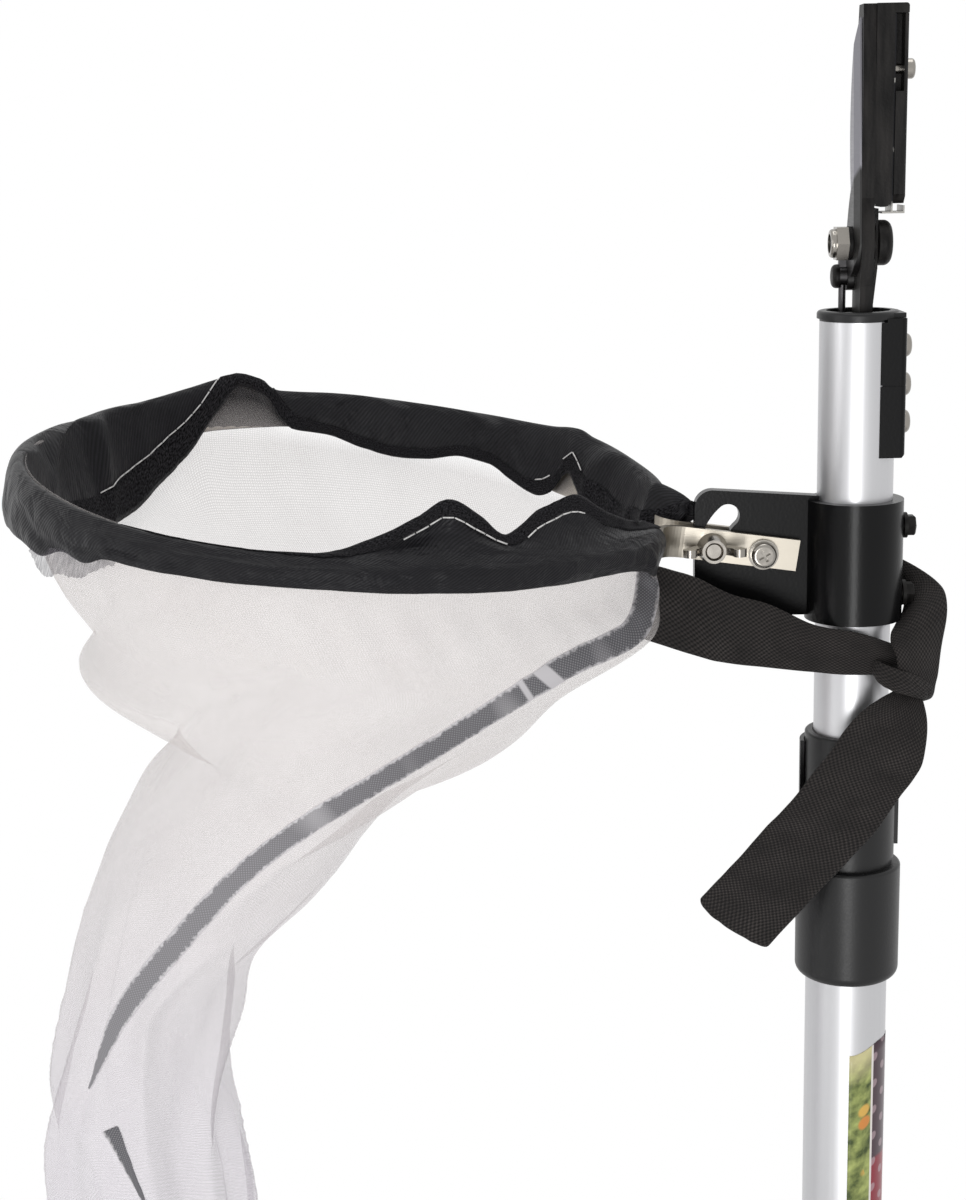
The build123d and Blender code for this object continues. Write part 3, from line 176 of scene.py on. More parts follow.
def spline(points, share):
    """Point at a share of a smooth line through points."""
    spot = min(max(share, 0.0), 1.0) * (len(points) - 1)
    i = min(int(spot), len(points) - 2)
    t = spot - i
    p1, p2 = points[i], points[i + 1]
    p0 = points[i - 1] if i else 2 * p1 - p2
    p3 = points[i + 2] if i + 2 < len(points) else 2 * p2 - p1
    bend = (2 * p0 - 5 * p1 + 4 * p2 - p3) * t * t + (3 * p1 - p0 - 3 * p2 + p3) * t ** 3
    return 0.5 * (2 * p1 + (p2 - p0) * t + bend)


def even_steps(*lines, fine=400, steps=40):
    """Smooth lines side by side, taken again at even steps along their middle, so that a weave on them is even."""
    rows = [[spline(line, i / fine) for line in lines] for i in range(fine + 1)]
    gone = [0.0]
    for before, after in zip(rows, rows[1:]):
        gone.append(gone[-1] + sum((b - a for a, b in zip(before, after)), Vector((0, 0, 0))).length)
    picks = [min(range(fine + 1), key=lambda i: abs(gone[i] - gone[-1] * k / steps)) for k in range(steps + 1)]
    return [[rows[i][n] for i in picks] for n in range(len(lines))]


def piece(name, mesh, material, smooth=True):
    """An object at the origin from a bmesh."""
    data = bpy.data.meshes.new(name)
    mesh.to_mesh(data)
    mesh.free()
    data.materials.append(material)
    for face in data.polygons:
        face.use_smooth = smooth
    thing = bpy.data.objects.new(name, data)
    bpy.context.scene.collection.objects.link(thing)
    return thing


def cloth(name, shape, along, across, size, material, thick, closed=False, rounds=1):
    """A sheet some mm thick, whose points are shape(u, w), with a UV map in metres of its flat size (along, across)."""
    mesh = bmesh.new()
    weave = mesh.loops.layers.uv.new("weave")
    bmesh.ops.create_grid(mesh, x_segments=along, y_segments=across, size=0.5, calc_uvs=True)
    for face in mesh.faces:
        for loop in face.loops:
            loop[weave].uv = (loop[weave].uv.x * size[0], loop[weave].uv.y * size[1])
    for vert in mesh.verts:
        vert.co = shape(vert.co.x + 0.5, vert.co.y + 0.5)
    if closed:
        bmesh.ops.remove_doubles(mesh, verts=mesh.verts, dist=1e-6)
    bmesh.ops.recalc_face_normals(mesh, faces=mesh.faces)
    thing = piece(name, mesh, material)
    wall = thing.modifiers.new("wall", "SOLIDIFY")
    wall.thickness = thick * mm
    wall.offset = 0.0
    if rounds:
        soft = thing.modifiers.new("soft", "SUBSURF")
        soft.levels = soft.render_levels = rounds
    return thing


# ---------------------------------------------------------------- materials

# A wave texture's scale times the distance between its bands
band_scale = 2 / 6.283

# Drawn aluminium tube, etched and clear anodised: satin, with faint lines along its length.
# Lines of about 0.2 mm are drawn at 0.7 mm so that they show, each some 80 mm long
drawn_aluminium, tree, surface, place = finish("drawn_aluminium", {
    "Base Color": linear("#C2C2C4"), "Metallic": 1.0, "Roughness": 0.4,
})
lines = add(tree, "Mapping", {"Vector": place, "Scale": (1 / 0.0007, 1 / 0.0007, 1 / 0.080)})
streaks = add(tree, "TexNoise", {"Vector": lines, "Scale": 1.0, "Detail": 3.0})
worn = add(tree, "MapRange", {"Value": streaks, "From Min": 0.3, "From Max": 0.7, "To Min": 0.36, "To Max": 0.46})
fill(tree, surface, {"Roughness": worn})

# Satin stainless strip, rolled and tumbled: warm grey with a soft brushed grain along the strip
satin_strip, tree, surface, place = finish("satin_stainless_strip", {
    "Base Color": linear("#A9A398"), "Metallic": 1.0, "Roughness": 0.34,
})
grain = add(tree, "Mapping", {"Vector": place, "Scale": (1 / 0.025, 1 / 0.0006, 1 / 0.0006)})
brush = add(tree, "TexNoise", {"Vector": grain, "Scale": 1.0, "Detail": 4.0})
worn = add(tree, "MapRange", {"Value": brush, "To Min": 0.24, "To Max": 0.5})
relief = add(tree, "Bump", {"Height": brush, "Strength": 0.1, "Distance": 0.0002})
fill(tree, surface, {"Roughness": worn, "Normal": relief})

# Powder coated steel: black, half matt, with the fine orange peel of a baked powder, about 0.5 mm and drawn at 0.9 mm
powder_coat, tree, surface, place = finish("black_powder_coat", {
    "Base Color": linear("#0B0B0C"), "Roughness": 0.27, "Specular IOR Level": 0.16,
})
peel = add(tree, "TexNoise", {"Vector": place, "Scale": 1 / 0.0009, "Detail": 2.0})
relief = add(tree, "Bump", {"Height": peel, "Strength": 0.12, "Distance": 0.0003})
fill(tree, surface, {"Normal": relief})

# Moulded ABS with a fine spark texture: charcoal, soft highlight
moulded_abs, tree, surface, place = finish("moulded_abs", {
    "Base Color": linear("#121213"), "Roughness": 0.4, "IOR": 1.53, "Specular IOR Level": 0.32,
})
spark = add(tree, "TexNoise", {"Vector": place, "Scale": 1 / 0.0008, "Detail": 3.0})
worn = add(tree, "MapRange", {"Value": spark, "To Min": 0.32, "To Max": 0.46})
relief = add(tree, "Bump", {"Height": spark, "Strength": 0.15, "Distance": 0.0002})
fill(tree, surface, {"Roughness": worn, "Normal": relief})

# Blackened tool steel: black oxide over a ground plate, oily sheen, an uneven warm black tone with lighter grey
# streaks down the plate that are painted reflections, and a pitted skin
black_oxide, tree, surface, place = finish("black_oxide_steel", {
    "Base Color": linear("#161515"), "Roughness": 0.4, "Specular IOR Level": 0.14,
})
streak_place = add(tree, "Mapping", {"Vector": place, "Scale": (1 / 0.003, 1 / 0.003, 1 / 0.022)})
cloud = add(tree, "TexNoise", {"Vector": streak_place, "Scale": 1.0, "Detail": 5.0})
# Colour from the streaks: uneven black tone, its lighter grey streaks painted reflections
shade = add(tree, "ValToRGB", {"Fac": cloud}, stops=((0.38, "#090808"), (0.72, "#2A2827")))
worn = add(tree, "MapRange", {"Value": cloud, "To Min": 0.34, "To Max": 0.56})
pits = add(tree, "TexNoise", {"Vector": place, "Scale": 1 / 0.0009, "Detail": 3.0})
relief = add(tree, "Bump", {"Height": pits, "Strength": 0.25, "Distance": 0.0003})
fill(tree, surface, {"Base Color": shade, "Roughness": worn, "Normal": relief})

# Blade steel: ground grey with grinding lines across the edge above the shoulder, left black from forging below it
ground_steel, tree, surface, place = finish("ground_blade_steel", {
    "Base Color": linear("#8E8D8C"), "Metallic": 1.0, "Roughness": 0.35,
})
shoulder = (1.1885, 1.1905)
grind = add(tree, "Mapping", {"Vector": place, "Scale": (1 / 0.0006, 1 / 0.012, 1 / 0.0006)})
lines = add(tree, "TexNoise", {"Vector": grind, "Scale": 1.0, "Detail": 3.0})
worn = add(tree, "MapRange", {"Value": lines, "To Min": 0.28, "To Max": 0.5})
apart = add(tree, "SeparateXYZ", {"Vector": place}).outputs
slant = add(tree, "Math", {0: apart["Y"], 1: 0.9, 2: apart["Z"]}, operation="MULTIPLY_ADD")
ground = add(tree, "MapRange", {"Value": slant, "From Min": shoulder[0], "From Max": shoulder[1]})
colour = add(tree, "MixRGB", {"Fac": ground, "Color1": linear("#121111"), "Color2": linear("#85848A")})
fill(tree, surface, {"Base Color": colour, "Metallic": ground, "Roughness": worn})

# Spring steel strip of the holder: painted dark along its length for the shade in the gap between block and plate,
# with painted glints in small random spots; its turned foot below the gap keeps the steel's grey
gap_shaded_strip, tree, surface, place = finish("spring_strip_painted_shade", {
    "Base Color": linear("#2A2A2C"), "Metallic": 1.0, "Roughness": 0.36,
})
strip_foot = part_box("holder_strip")[0][2]
glint_noise = add(tree, "TexNoise", {"Vector": place, "Scale": 1 / 0.004, "Detail": 4.0})
height = add(tree, "SeparateXYZ", {"Vector": place}).outputs["Z"]
foot = add(tree, "MapRange", {"Value": height, "From Min": strip_foot + 0.004, "From Max": strip_foot + 0.002})
# Painted glints: small random spots of the bright steel colour on the shaded length
painted_glints = add(tree, "MapRange", {"Value": glint_noise, "From Min": 0.66, "From Max": 0.74})
glints_and_foot = add(tree, "Math", {0: foot, 1: painted_glints}, operation="MAXIMUM")
# Dark colour is painted shade of the gap; the grey is the steel's own, shown at the foot and in the painted glints
colour = add(tree, "MixRGB", {"Fac": glints_and_foot, "Color1": linear("#232325"), "Color2": linear("#94928E")})
fill(tree, surface, {"Base Color": colour})

# Zinc plated fasteners, bright chromate: mirror-like with a faint cloud
zinc_plate, tree, surface, place = finish("bright_zinc_plate", {
    "Base Color": linear("#928E88"), "Metallic": 1.0, "Roughness": 0.2,
})
cloud = add(tree, "TexNoise", {"Vector": place, "Scale": 1 / 0.0025, "Detail": 4.0})
worn = add(tree, "MapRange", {"Value": cloud, "To Min": 0.12, "To Max": 0.32})
fill(tree, surface, {"Roughness": worn})

# Drawn steel wire rod: grey, oiled
rod_steel, tree, surface, place = finish("drawn_rod_steel", {
    "Base Color": linear("#4A494A"), "Metallic": 1.0, "Roughness": 0.4,
})
lines = add(tree, "Mapping", {"Vector": place, "Scale": (1 / 0.0005, 1 / 0.0005, 1 / 0.030)})
streaks = add(tree, "TexNoise", {"Vector": lines, "Scale": 1.0, "Detail": 2.0})
worn = add(tree, "MapRange", {"Value": streaks, "To Min": 0.3, "To Max": 0.5})
fill(tree, surface, {"Roughness": worn})

# Closed cell foam grip, skinned: dull charcoal with fine open pores of about 0.5 mm, drawn at 1.1 mm
foam, tree, surface, place = finish("nitrile_foam", {
    "Base Color": linear("#1A1A1B"), "Roughness": 0.85, "Specular IOR Level": 0.2,
})
pores = add(tree, "TexVoronoi", {"Vector": place, "Scale": 1 / 0.0011})
relief = add(tree, "Bump", {"Height": pores, "Strength": 0.35, "Distance": 0.0004})
fill(tree, surface, {"Normal": relief})

# Moulded rubber: deep matt black with a dusty bloom
rubber, tree, surface, place = finish("moulded_rubber", {
    "Base Color": linear("#121213"), "Roughness": 0.7, "Specular IOR Level": 0.2,
})
bloom = add(tree, "TexNoise", {"Vector": place, "Scale": 1 / 0.004, "Detail": 5.0})
shade = add(tree, "ValToRGB", {"Fac": bloom}, stops=((0, "#0F0F10"), (1, "#1D1D1D")))
fill(tree, surface, {"Base Color": shade})

# Moulded nylon: off-white, half matt
nylon, tree, surface, place = finish("moulded_nylon", {"Base Color": linear("#D6D2C6"), "Roughness": 0.5, "IOR": 1.53})
cloud = add(tree, "TexNoise", {"Vector": place, "Scale": 1 / 0.003, "Detail": 3.0})
worn = add(tree, "MapRange", {"Value": cloud, "To Min": 0.42, "To Max": 0.6})
fill(tree, surface, {"Roughness": worn})

# Nylon oxford cloth, coated: black with a soft satin sheen, a fine twill and soft creases.
# Yarns of about 0.3 mm are drawn 1.2 mm apart, on the skew as a twill shows
oxford, tree, surface, flat = finish("nylon_oxford_cloth", {
    "Base Color": linear("#0E0D0F"), "Roughness": 0.42, "Specular IOR Level": 0.16,
    "Sheen Weight": 0.04, "Sheen Roughness": 0.4,
}, "UV")
skew = add(tree, "Mapping", {"Vector": flat, "Rotation": (0, 0, math.radians(35))})
yarns = add(tree, "TexWave", {"Vector": skew, "Scale": band_scale / 0.0012}, bands_direction="X")
creases = add(tree, "TexNoise", {"Vector": flat, "Scale": 1 / 0.010, "Detail": 3.0, "Distortion": 0.6})
shade = add(tree, "ValToRGB", {"Fac": yarns}, stops=((0, "#0C0C0E"), (1, "#1E1D21")))
height = add(tree, "Math", {0: yarns, 1: 0.04, 2: creases}, operation="MULTIPLY_ADD")
relief = add(tree, "Bump", {"Height": height, "Strength": 0.6, "Distance": 0.0035})
fill(tree, surface, {"Base Color": shade, "Normal": relief})

# Velvet hem tape: cut pile, deep black, speckled where the pile's tips catch the light.
# Tufts of 0.3 mm are drawn at 0.6 mm
velvet, tree, surface, flat = finish("velvet_hem_tape", {
    "Base Color": linear("#0B0B0C"), "Roughness": 0.95, "Specular IOR Level": 0.05,
    "Sheen Weight": 0.1, "Sheen Roughness": 0.3,
}, "UV")
pile = add(tree, "TexNoise", {"Vector": flat, "Scale": 1 / 0.0006, "Detail": 3.0})
shade = add(tree, "ValToRGB", {"Fac": pile}, stops=((0.38, "#050506"), (0.72, "#3B3A3D")))
relief = add(tree, "Bump", {"Height": pile, "Strength": 0.5, "Distance": 0.0004})
fill(tree, surface, {"Base Color": shade, "Normal": relief})

# Polyester organza net: sheer off-white, each layer stops about a quarter of the light; warmer in the pouch, cooler
# down the tail. Threads of 0.4 mm pitch are drawn 0.9 mm apart both ways, with cloudy thin spots
organza, tree, surface, flat = finish("organza_net", {"Roughness": 0.6, "Sheen Weight": 0.1}, "UV")
apart = add(tree, "SeparateXYZ", {"Vector": add(tree, "TexCoord").outputs["Object"]}).outputs
tint = add(tree, "MapRange", {"Value": apart["Z"], "From Min": 0.86, "From Max": 1.02})
shade = add(tree, "ValToRGB", {"Fac": tint}, stops=((0, "#DDD8DE"), (1, "#E2DCDA")))
threads = {"Vector": flat, "Scale": band_scale / 0.0009, "Distortion": 0.3}
warp = add(tree, "TexWave", threads, bands_direction="X")
weft = add(tree, "TexWave", threads, bands_direction="Y")
grid = add(tree, "Math", {0: warp, 1: weft}, operation="MAXIMUM")
sheer = add(tree, "MapRange", {"Value": grid, "To Min": 0.17, "To Max": 0.30})
cloud = add(tree, "TexNoise", {"Vector": flat, "Scale": 1 / 0.035, "Detail": 2.0})
thin = add(tree, "MapRange", {"Value": cloud, "From Min": 0.3, "From Max": 0.7, "To Min": 0.9, "To Max": 1.1})
sheer = add(tree, "Math", {0: sheer, 1: thin}, operation="MULTIPLY")
# The net is pulled thin over the casing at the back of the hoop, most of all along its top
drop = add(tree, "SeparateXYZ", {"Vector": flat}).outputs["Y"]
rim = add(tree, "MapRange", {"Value": drop, "From Min": 0.024, "From Max": 0.006, "To Max": 0.92})
rear = add(tree, "MapRange", {"Value": apart["Y"], "From Min": 0.03, "From Max": 0.06})
thin = add(tree, "Math", {0: rim, 1: rear}, operation="MULTIPLY")
thin = add(tree, "Math", {0: 1.0, 1: thin}, operation="SUBTRACT")
sheer = add(tree, "Math", {0: sheer, 1: thin}, operation="MULTIPLY")
fill(tree, surface, {"Base Color": shade, "Alpha": sheer})

# Raw edge of the same net: grey, much darker than the rest of the net, its sheerness streaked down its threads
raw_net, tree, surface, flat = finish("raw_net_edge", {"Base Color": linear("#68656B"), "Roughness": 0.8}, "UV")
down = add(tree, "Mapping", {"Vector": flat, "Scale": (1 / 0.0008, 1 / 0.006, 1.0)})
thread_streaks = add(tree, "TexNoise", {"Vector": down, "Scale": 1.0, "Detail": 3.0})
sheer = add(tree, "MapRange", {"Value": thread_streaks, "From Min": 0.3, "From Max": 0.7, "To Min": 0.12, "To Max": 0.5})
fill(tree, surface, {"Alpha": sheer})

# Woven polypropylene binding: grey tape in a fine bias weave (drawn at 0.8 mm to show), with pale fuzzy edges and
# pale creases across it, and paler down its length, where a layer of the net lies over it. The net is folded over it
# in two places close together: how far along the tape, the slant, and the half width
tape_wide = 0.0075
tape_folds = ((0.0566, 0.37, 0.0027), (0.0658, 0.0, 0.0011))
fold_blur = 0.0004
binding, tree, surface, flat = finish("woven_binding_tape", {"Base Color": linear("#6A6A6E"), "Roughness": 0.8}, "UV")
bias = add(tree, "Mapping", {"Vector": flat, "Rotation": (0, 0, 0.7)})
threads = {"Vector": bias, "Scale": band_scale / 0.0008}
warp = add(tree, "TexWave", threads, bands_direction="X")
weft = add(tree, "TexWave", threads, bands_direction="Y")
checks = add(tree, "Math", {0: warp, 1: weft}, operation="MULTIPLY")
shade = add(tree, "ValToRGB", {"Fac": checks}, stops=((0, "#504F53"), (1, "#8E8D91")))
fuzz = add(tree, "TexNoise", {"Vector": flat, "Scale": 1 / 0.0016, "Detail": 3.0})
frayed = {"From Min": 0.3, "From Max": 0.7, "To Min": 0.0006, "To Max": -0.0006}
frayed = add(tree, "MapRange", {"Value": fuzz, **frayed})
apart = add(tree, "SeparateXYZ", {"Vector": flat}).outputs
off = add(tree, "Math", {0: apart["Y"], 1: tape_wide / 2}, operation="SUBTRACT")
off = add(tree, "Math", {0: off}, operation="ABSOLUTE")
off = add(tree, "Math", {0: off, 1: frayed}, operation="ADD")
edge = add(tree, "MapRange", {"Value": off, "From Min": 0.0027, "From Max": 0.0037})
stretch = add(tree, "Mapping", {"Vector": flat, "Scale": (1 / 0.028, 1 / 0.060, 1.0), "Rotation": (0, 0, 0.5)})
bands = add(tree, "TexNoise", {"Vector": stretch, "Scale": 1.0, "Detail": 1.0})
crease = add(tree, "MapRange", {"Value": bands, "From Min": 0.56, "From Max": 0.72, "To Max": 0.35})
pale = add(tree, "Math", {0: edge, 1: crease}, operation="MAXIMUM")
for along, slant, half in tape_folds:
    fold = add(tree, "Math", {0: apart["Y"], 1: slant, 2: apart["X"]}, operation="MULTIPLY_ADD")
    fold = add(tree, "Math", {0: fold, 1: along + slant * tape_wide / 2}, operation="SUBTRACT")
    fold = add(tree, "Math", {0: fold}, operation="ABSOLUTE")
    fold = add(tree, "MapRange", {"Value": fold, "From Min": half + fold_blur, "From Max": half - fold_blur})
    pale = add(tree, "Math", {0: pale, 1: fold}, operation="MAXIMUM")
veil = add(tree, "MapRange", {"Value": apart["X"], "From Min": 0.03, "From Max": 0.20, "To Max": 0.22})
pale = add(tree, "Math", {0: pale, 1: veil}, operation="ADD", use_clamp=True)
colour = add(tree, "MixRGB", {"Fac": pale, "Color1": shade, "Color2": linear("#CAC7CA")})
fill(tree, surface, {"Base Color": colour})

# Polypropylene webbing: brown-black, plain weave whose yarn crowns catch the light. Crowns stand 0.85 mm apart along
# the strap and 0.7 mm across, each pick set half a step from the last
webbing, tree, surface, flat = finish("polypropylene_webbing", {
    "Base Color": linear("#151110"), "Roughness": 0.66, "Specular IOR Level": 0.2, "Sheen Weight": 0.03,
}, "UV")
threads = {"Vector": flat, "Distortion": 0.8, "Detail": 1.0, "Detail Scale": 1 / 0.004}
warp = add(tree, "TexWave", {**threads, "Scale": band_scale / 0.0017}, bands_direction="X")
weft = add(tree, "TexWave", {**threads, "Scale": band_scale / 0.0014}, bands_direction="Y")
warp = add(tree, "Math", {0: warp, 1: 0.5}, operation="SUBTRACT")
weft = add(tree, "Math", {0: weft, 1: 0.5}, operation="SUBTRACT")
crowns = add(tree, "Math", {0: warp, 1: weft}, operation="MULTIPLY")
crowns = add(tree, "MapRange", {"Value": crowns, "From Min": -0.16, "From Max": 0.2})
wear = add(tree, "TexNoise", {"Vector": flat, "Scale": 1 / 0.012, "Detail": 3.0})
lit = add(tree, "Math", {0: crowns, 1: wear}, operation="MULTIPLY")
shade = add(tree, "ValToRGB", {"Fac": lit}, stops=((0, "#080606"), (0.7, "#474240")))
relief = add(tree, "Bump", {"Height": crowns, "Strength": 0.9, "Distance": 0.0005})
fill(tree, surface, {"Base Color": shade, "Normal": relief})

# Polyester sewing thread, white, with its twist drawn at 1.2 mm
thread, tree, surface, place = finish("white_sewing_thread", {
    "Base Color": linear("#DAD8D6"), "Roughness": 0.7, "Sheen Weight": 0.3,
})
twist = add(tree, "TexNoise", {"Vector": place, "Scale": 1 / 0.0012, "Detail": 1.0})
shade = add(tree, "ValToRGB", {"Fac": twist}, stops=((0, "#B9B7B6"), (1, "#EDECEA")))
fill(tree, surface, {"Base Color": shade})

finishes = {
    "outer_tube": drawn_aluminium, "inner_tube": drawn_aluminium, "drive_tube": drawn_aluminium,
    "inner_bush": moulded_abs, "top_cap": moulded_abs, "saddle": powder_coat, "head_screws": zinc_plate,
    "counter_plate": black_oxide, "blade": ground_steel, "tail_pin": black_oxide, "pivot_bolt": black_oxide,
    "pivot_washers": black_oxide, "pivot_nut": zinc_plate, "leaf_strip": black_oxide, "holder_block": black_oxide,
    "holder_strip": gap_shaded_strip, "holder_plate": black_oxide, "holder_screw": zinc_plate, "pull_rod": rod_steel,
    "rod_clutch": rod_steel, "drive_yoke": rod_steel, "yoke_pin": rod_steel, "trigger": moulded_abs,
    "trigger_pin": rod_steel, "handle_front": moulded_abs, "handle_back": moulded_abs, "handle_screws": zinc_plate,
    "grip_sleeve": foam, "end_cap": rubber, "collar_body": moulded_abs, "brake_shoe": nylon, "lock_lever": moulded_abs,
    "lever_pin": rod_steel, "net_bracket": powder_coat, "clamp_screws": black_oxide, "hoop_strip": satin_strip,
    "hoop_screw": zinc_plate, "hoop_nut": zinc_plate, "wing_bolt": zinc_plate, "wing_nut": zinc_plate,
}
for name, material in finishes.items():
    nodes[name].data.materials.clear()
    nodes[name].data.materials.append(material)

# ---------------------------------------------------------------- sleeve of the hoop

# One strip of cloth folded over the hoop: angle, then in mm its outer hem, its top, its free edge inside, and how far
# in that edge hangs
sleeve_rows = (
    (0.5, 8.0, 13.0, 9.0, -1.0),
    (2.5, 4.0, 15.0, 3.0, -2.0),
    (6, -5.0, 16.0, -3.0, -3.0),
    (10, -6.0, 16.5, -7.0, -3.5),
    (20, -6.0, 17.0, -11.0, -5.5),
    (29, -6.0, 18.0, -7.0, -6.5),
    (34, -6.0, 18.5, -3.0, -6.0),
    (37.5, -6.0, 18.8, 1.5, -5.0),
    (39.5, -6.0, 19.6, 4.6, -4.0),
    (41, -6.0, 20.0, 4.0, -4.0),
    (43.5, -6.0, 19.6, -4.0, -4.5),
    (48, -5.5, 18.0, -7.4, -4.8),
    (55, -3.5, 16.8, -4.6, -5.0),
    (61, -1.8, 16.2, -1.2, -4.2),
    (67, -1.6, 15.6, -0.8, -4.0),
    (75, -3.6, 15.0, -4.5, -4.6),
    (82, -4.6, 14.5, -6.0, -5.0),
    (90, -3.2, 14.2, -4.3, -4.6),
    (97, -1.6, 13.6, -1.6, -4.0),
    (104.5, -1.0, 12.6, -0.8, -3.6),
    (108, -1.5, 12.4, 4.0, -3.2),
    (110, -2.0, 13.4, 9.0, -3.0),
    (112, -2.4, 16.0, 11.5, -3.0),
    (117, -3.5, 17.4, 13.8, -3.0),
    (122, -4.6, 14.8, 3.0, -3.6),
    (127, -6.5, 11.8, -10.5, -5.0),
    (136, -9.5, 7.6, -23.0, -9.0),
    (146, -11.4, 5.2, -31.0, -13.0),
    (158, -12.4, 2.8, -34.0, -16.0),
    (175, -16.0, 1.6, -31.0, -14.0),
    (195, -18.5, 1.6, -22.0, -9.0),
    (210, -17.2, 1.4, -15.0, -6.0),
    (217, -17.6, 1.3, -12.5, -5.5),
    (224.5, -12.6, 1.2, -10.0, -5.0),
    (229.5, -13.2, 1.2, -9.0, -4.6),
    (235, -9.2, 1.3, -7.5, -4.3),
    (240, -8.8, 1.5, -6.0, -4.0),
    (255, -6.6, 2.8, -2.0, -4.0),
    (268, -4.2, 4.9, 3.0, -4.0),
    (278, -2.9, 6.8, 11.5, -4.0),
    (285, -2.1, 8.4, 19.0, -4.5),
    (290, -1.5, 9.4, 24.5, -5.0),
    (296, -0.9, 9.6, 20.0, -6.0),
    (302, -0.3, 10.2, 14.0, -7.0),
    (308, 0.5, 10.8, 22.0, -6.0),
    (315, 1.2, 11.4, 26.0, -5.5),
    (325, 1.6, 11.6, 19.5, -5.0),
    (335, -0.6, 11.0, 14.5, -4.5),
    (342, -4.6, 10.0, 12.4, -4.0),
    (348.5, -7.2, 8.4, 9.4, -3.0),
)
sleeve_turn = (sleeve_rows[0][0], sleeve_rows[-1][0])
sleeve_flat = (0.64, 0.050)

# Soft creases and hollows in it: angle, share of the way from the hem to the free edge, their half sizes, slant, and
# depth in mm
sleeve_folds = (
    (30, 0.72, 3.0, 0.12, 20, -2.2),
    (61, 0.75, 2.2, 0.15, -40, -2.0),
    (85, 0.68, 2.4, 0.12, -24, -1.8),
    (141, 0.63, 3.0, 0.10, 14, -2.0),
    (153, 0.74, 2.6, 0.14, 0, -4.4),
    (167, 0.68, 2.0, 0.15, 60, -5.4),
    (181, 0.74, 4.0, 0.15, -30, -2.5),
    (218, 0.12, 3.0, 0.12, -60, -1.4),
    (237, 0.14, 10.0, 0.03, 0, -1.4),
    (262, 0.30, 9.0, 0.05, 20, 0.9),
    (286, 0.76, 5.0, 0.12, 0, -3.2),
    (299, 0.70, 4.0, 0.10, -30, 1.2),
    (316, 0.72, 6.0, 0.13, 0, -2.0),
    (332, 0.60, 7.0, 0.08, 40, 0.9),
)


def sleeve_section(angle):
    """The cloth's section at an angle, from the outer hem over the top to the free edge, as (out, up, 0) in mm."""
    hem, top, edge, inward = track(sleeve_rows, angle)
    rise = edge - top
    crease = 1.5 * ripple(angle * 0.13, 2.0) + 0.8 * ripple(angle * 0.45, 5.0)
    slack = 1.6 * ripple(angle * 0.17, 9.0) + 0.6 * ripple(angle * 0.5, 11.0)
    # The turned end by the front tab is a second layer thick, and its seam is pulled in
    crease += 1.3 * smooth_step(335.6, 336.8, angle) - 0.6 * math.exp(-((angle - 335.2) / 0.9) ** 2)
    crease -= 2.8 * smooth_step(339, 347, angle)
    return [
        Vector((2.2 + 0.4 * crease, hem, 0)),
        Vector((max(1.6, 3.3 + crease), hem + 0.3 * (top - hem), 0)),
        Vector((3.2 + 0.7 * slack, hem + 0.65 * (top - hem), 0)),
        Vector((2.2, top - 2.0, 0)),
        Vector((0.0, top, 0)),
        Vector((-2.2, top + max(-2.5, 0.25 * rise), 0)),
        Vector((0.5 * inward - 1.6 - slack, top + 0.55 * rise, 0)),
        Vector((inward + 0.8 * crease, edge, 0)),
    ]


def sleeve_spot(angle, w):
    """Point of the section at a share w of it, with the folds."""
    spot = spline(sleeve_section(angle), w)
    for fold, share, wide, tall, slant, depth in sleeve_folds:
        away = (angle - fold - slant * (w - share)) / wide
        if abs(away) < 3:
            spot.x += depth * math.exp(-away ** 2 - ((w - share) / tall) ** 2)
    return spot


def on_strip(angle, out, up):
    """Point on the hoop's strip: round the ring, then out along its rear tab, where the cloth is drawn in."""
    past = max(0.0, ring_end - angle) * 1.9
    drawn_in = smooth_step(0, 9, past) * 7.5
    return on_hoop(max(angle, ring_end), out, up) + past * mm * hoop_u - drawn_in * mm * hoop_v


def sleeve_point(u, w):
    """Point of the sleeve: u along the hoop, w from the outer hem to the free edge."""
    angle = between(sleeve_turn, u)
    spot = sleeve_spot(angle, w)
    return on_strip(angle, spot.x, spot.y)


def near_edge(angle, back, lift, steps=60):
    """Point of the sleeve some mm back from its free edge, lifted off its inner face."""
    spot, step, gone = sleeve_spot(angle, 1.0), Vector((0, 0, 0)), 0.0
    for i in range(steps - 1, -1, -1):
        ahead = sleeve_spot(angle, i / steps)
        step = spot - ahead
        if gone + step.length >= back:
            spot = spot - step * ((back - gone) / step.length)
            break
        gone += step.length
        spot = ahead
    side = Vector((-step.y, step.x, 0)).normalized()
    return on_strip(angle, spot.x + lift * side.x, spot.y + lift * side.y)


sleeve = cloth("hoop_sleeve", sleeve_point, 330, 30, sleeve_flat, oxford, 0.6)
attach(sleeve, "net_frame")
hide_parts("net_sleeve")

# Velvet tape folded round the free edge: how deep it shows (mm) round the hoop
hem_rows = (
    (0, 7.0), (6, 10.0), (14, 13.5), (26, 13.5), (33, 10.0), (36, 8.0), (44, 6.5), (54, 4.0), (98, 4.2), (112, 8.5),
    (118, 9.5), (127, 14.0), (142, 15.0), (158, 13.0), (230, 9.5), (280, 4.5), (360, 4.5),
)


def hem_depth(angle):
    """How deep the tape is at an angle, in mm."""
    return track(hem_rows, angle)[0]


def hem_point(u, w):
    """Point of the hem tape: down one face of the free edge and up the other."""
    angle = between(sleeve_turn, u)
    side = 1 - 2 * w
    return near_edge(angle, max(0.05, hem_depth(angle) * abs(side)), 0.6 * max(-1.0, min(1.0, side * 6)))


hem = cloth("velvet_hem", hem_point, 330, 10, (0.6, 0.018), velvet, 0.3, rounds=0)
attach(hem, "net_frame")

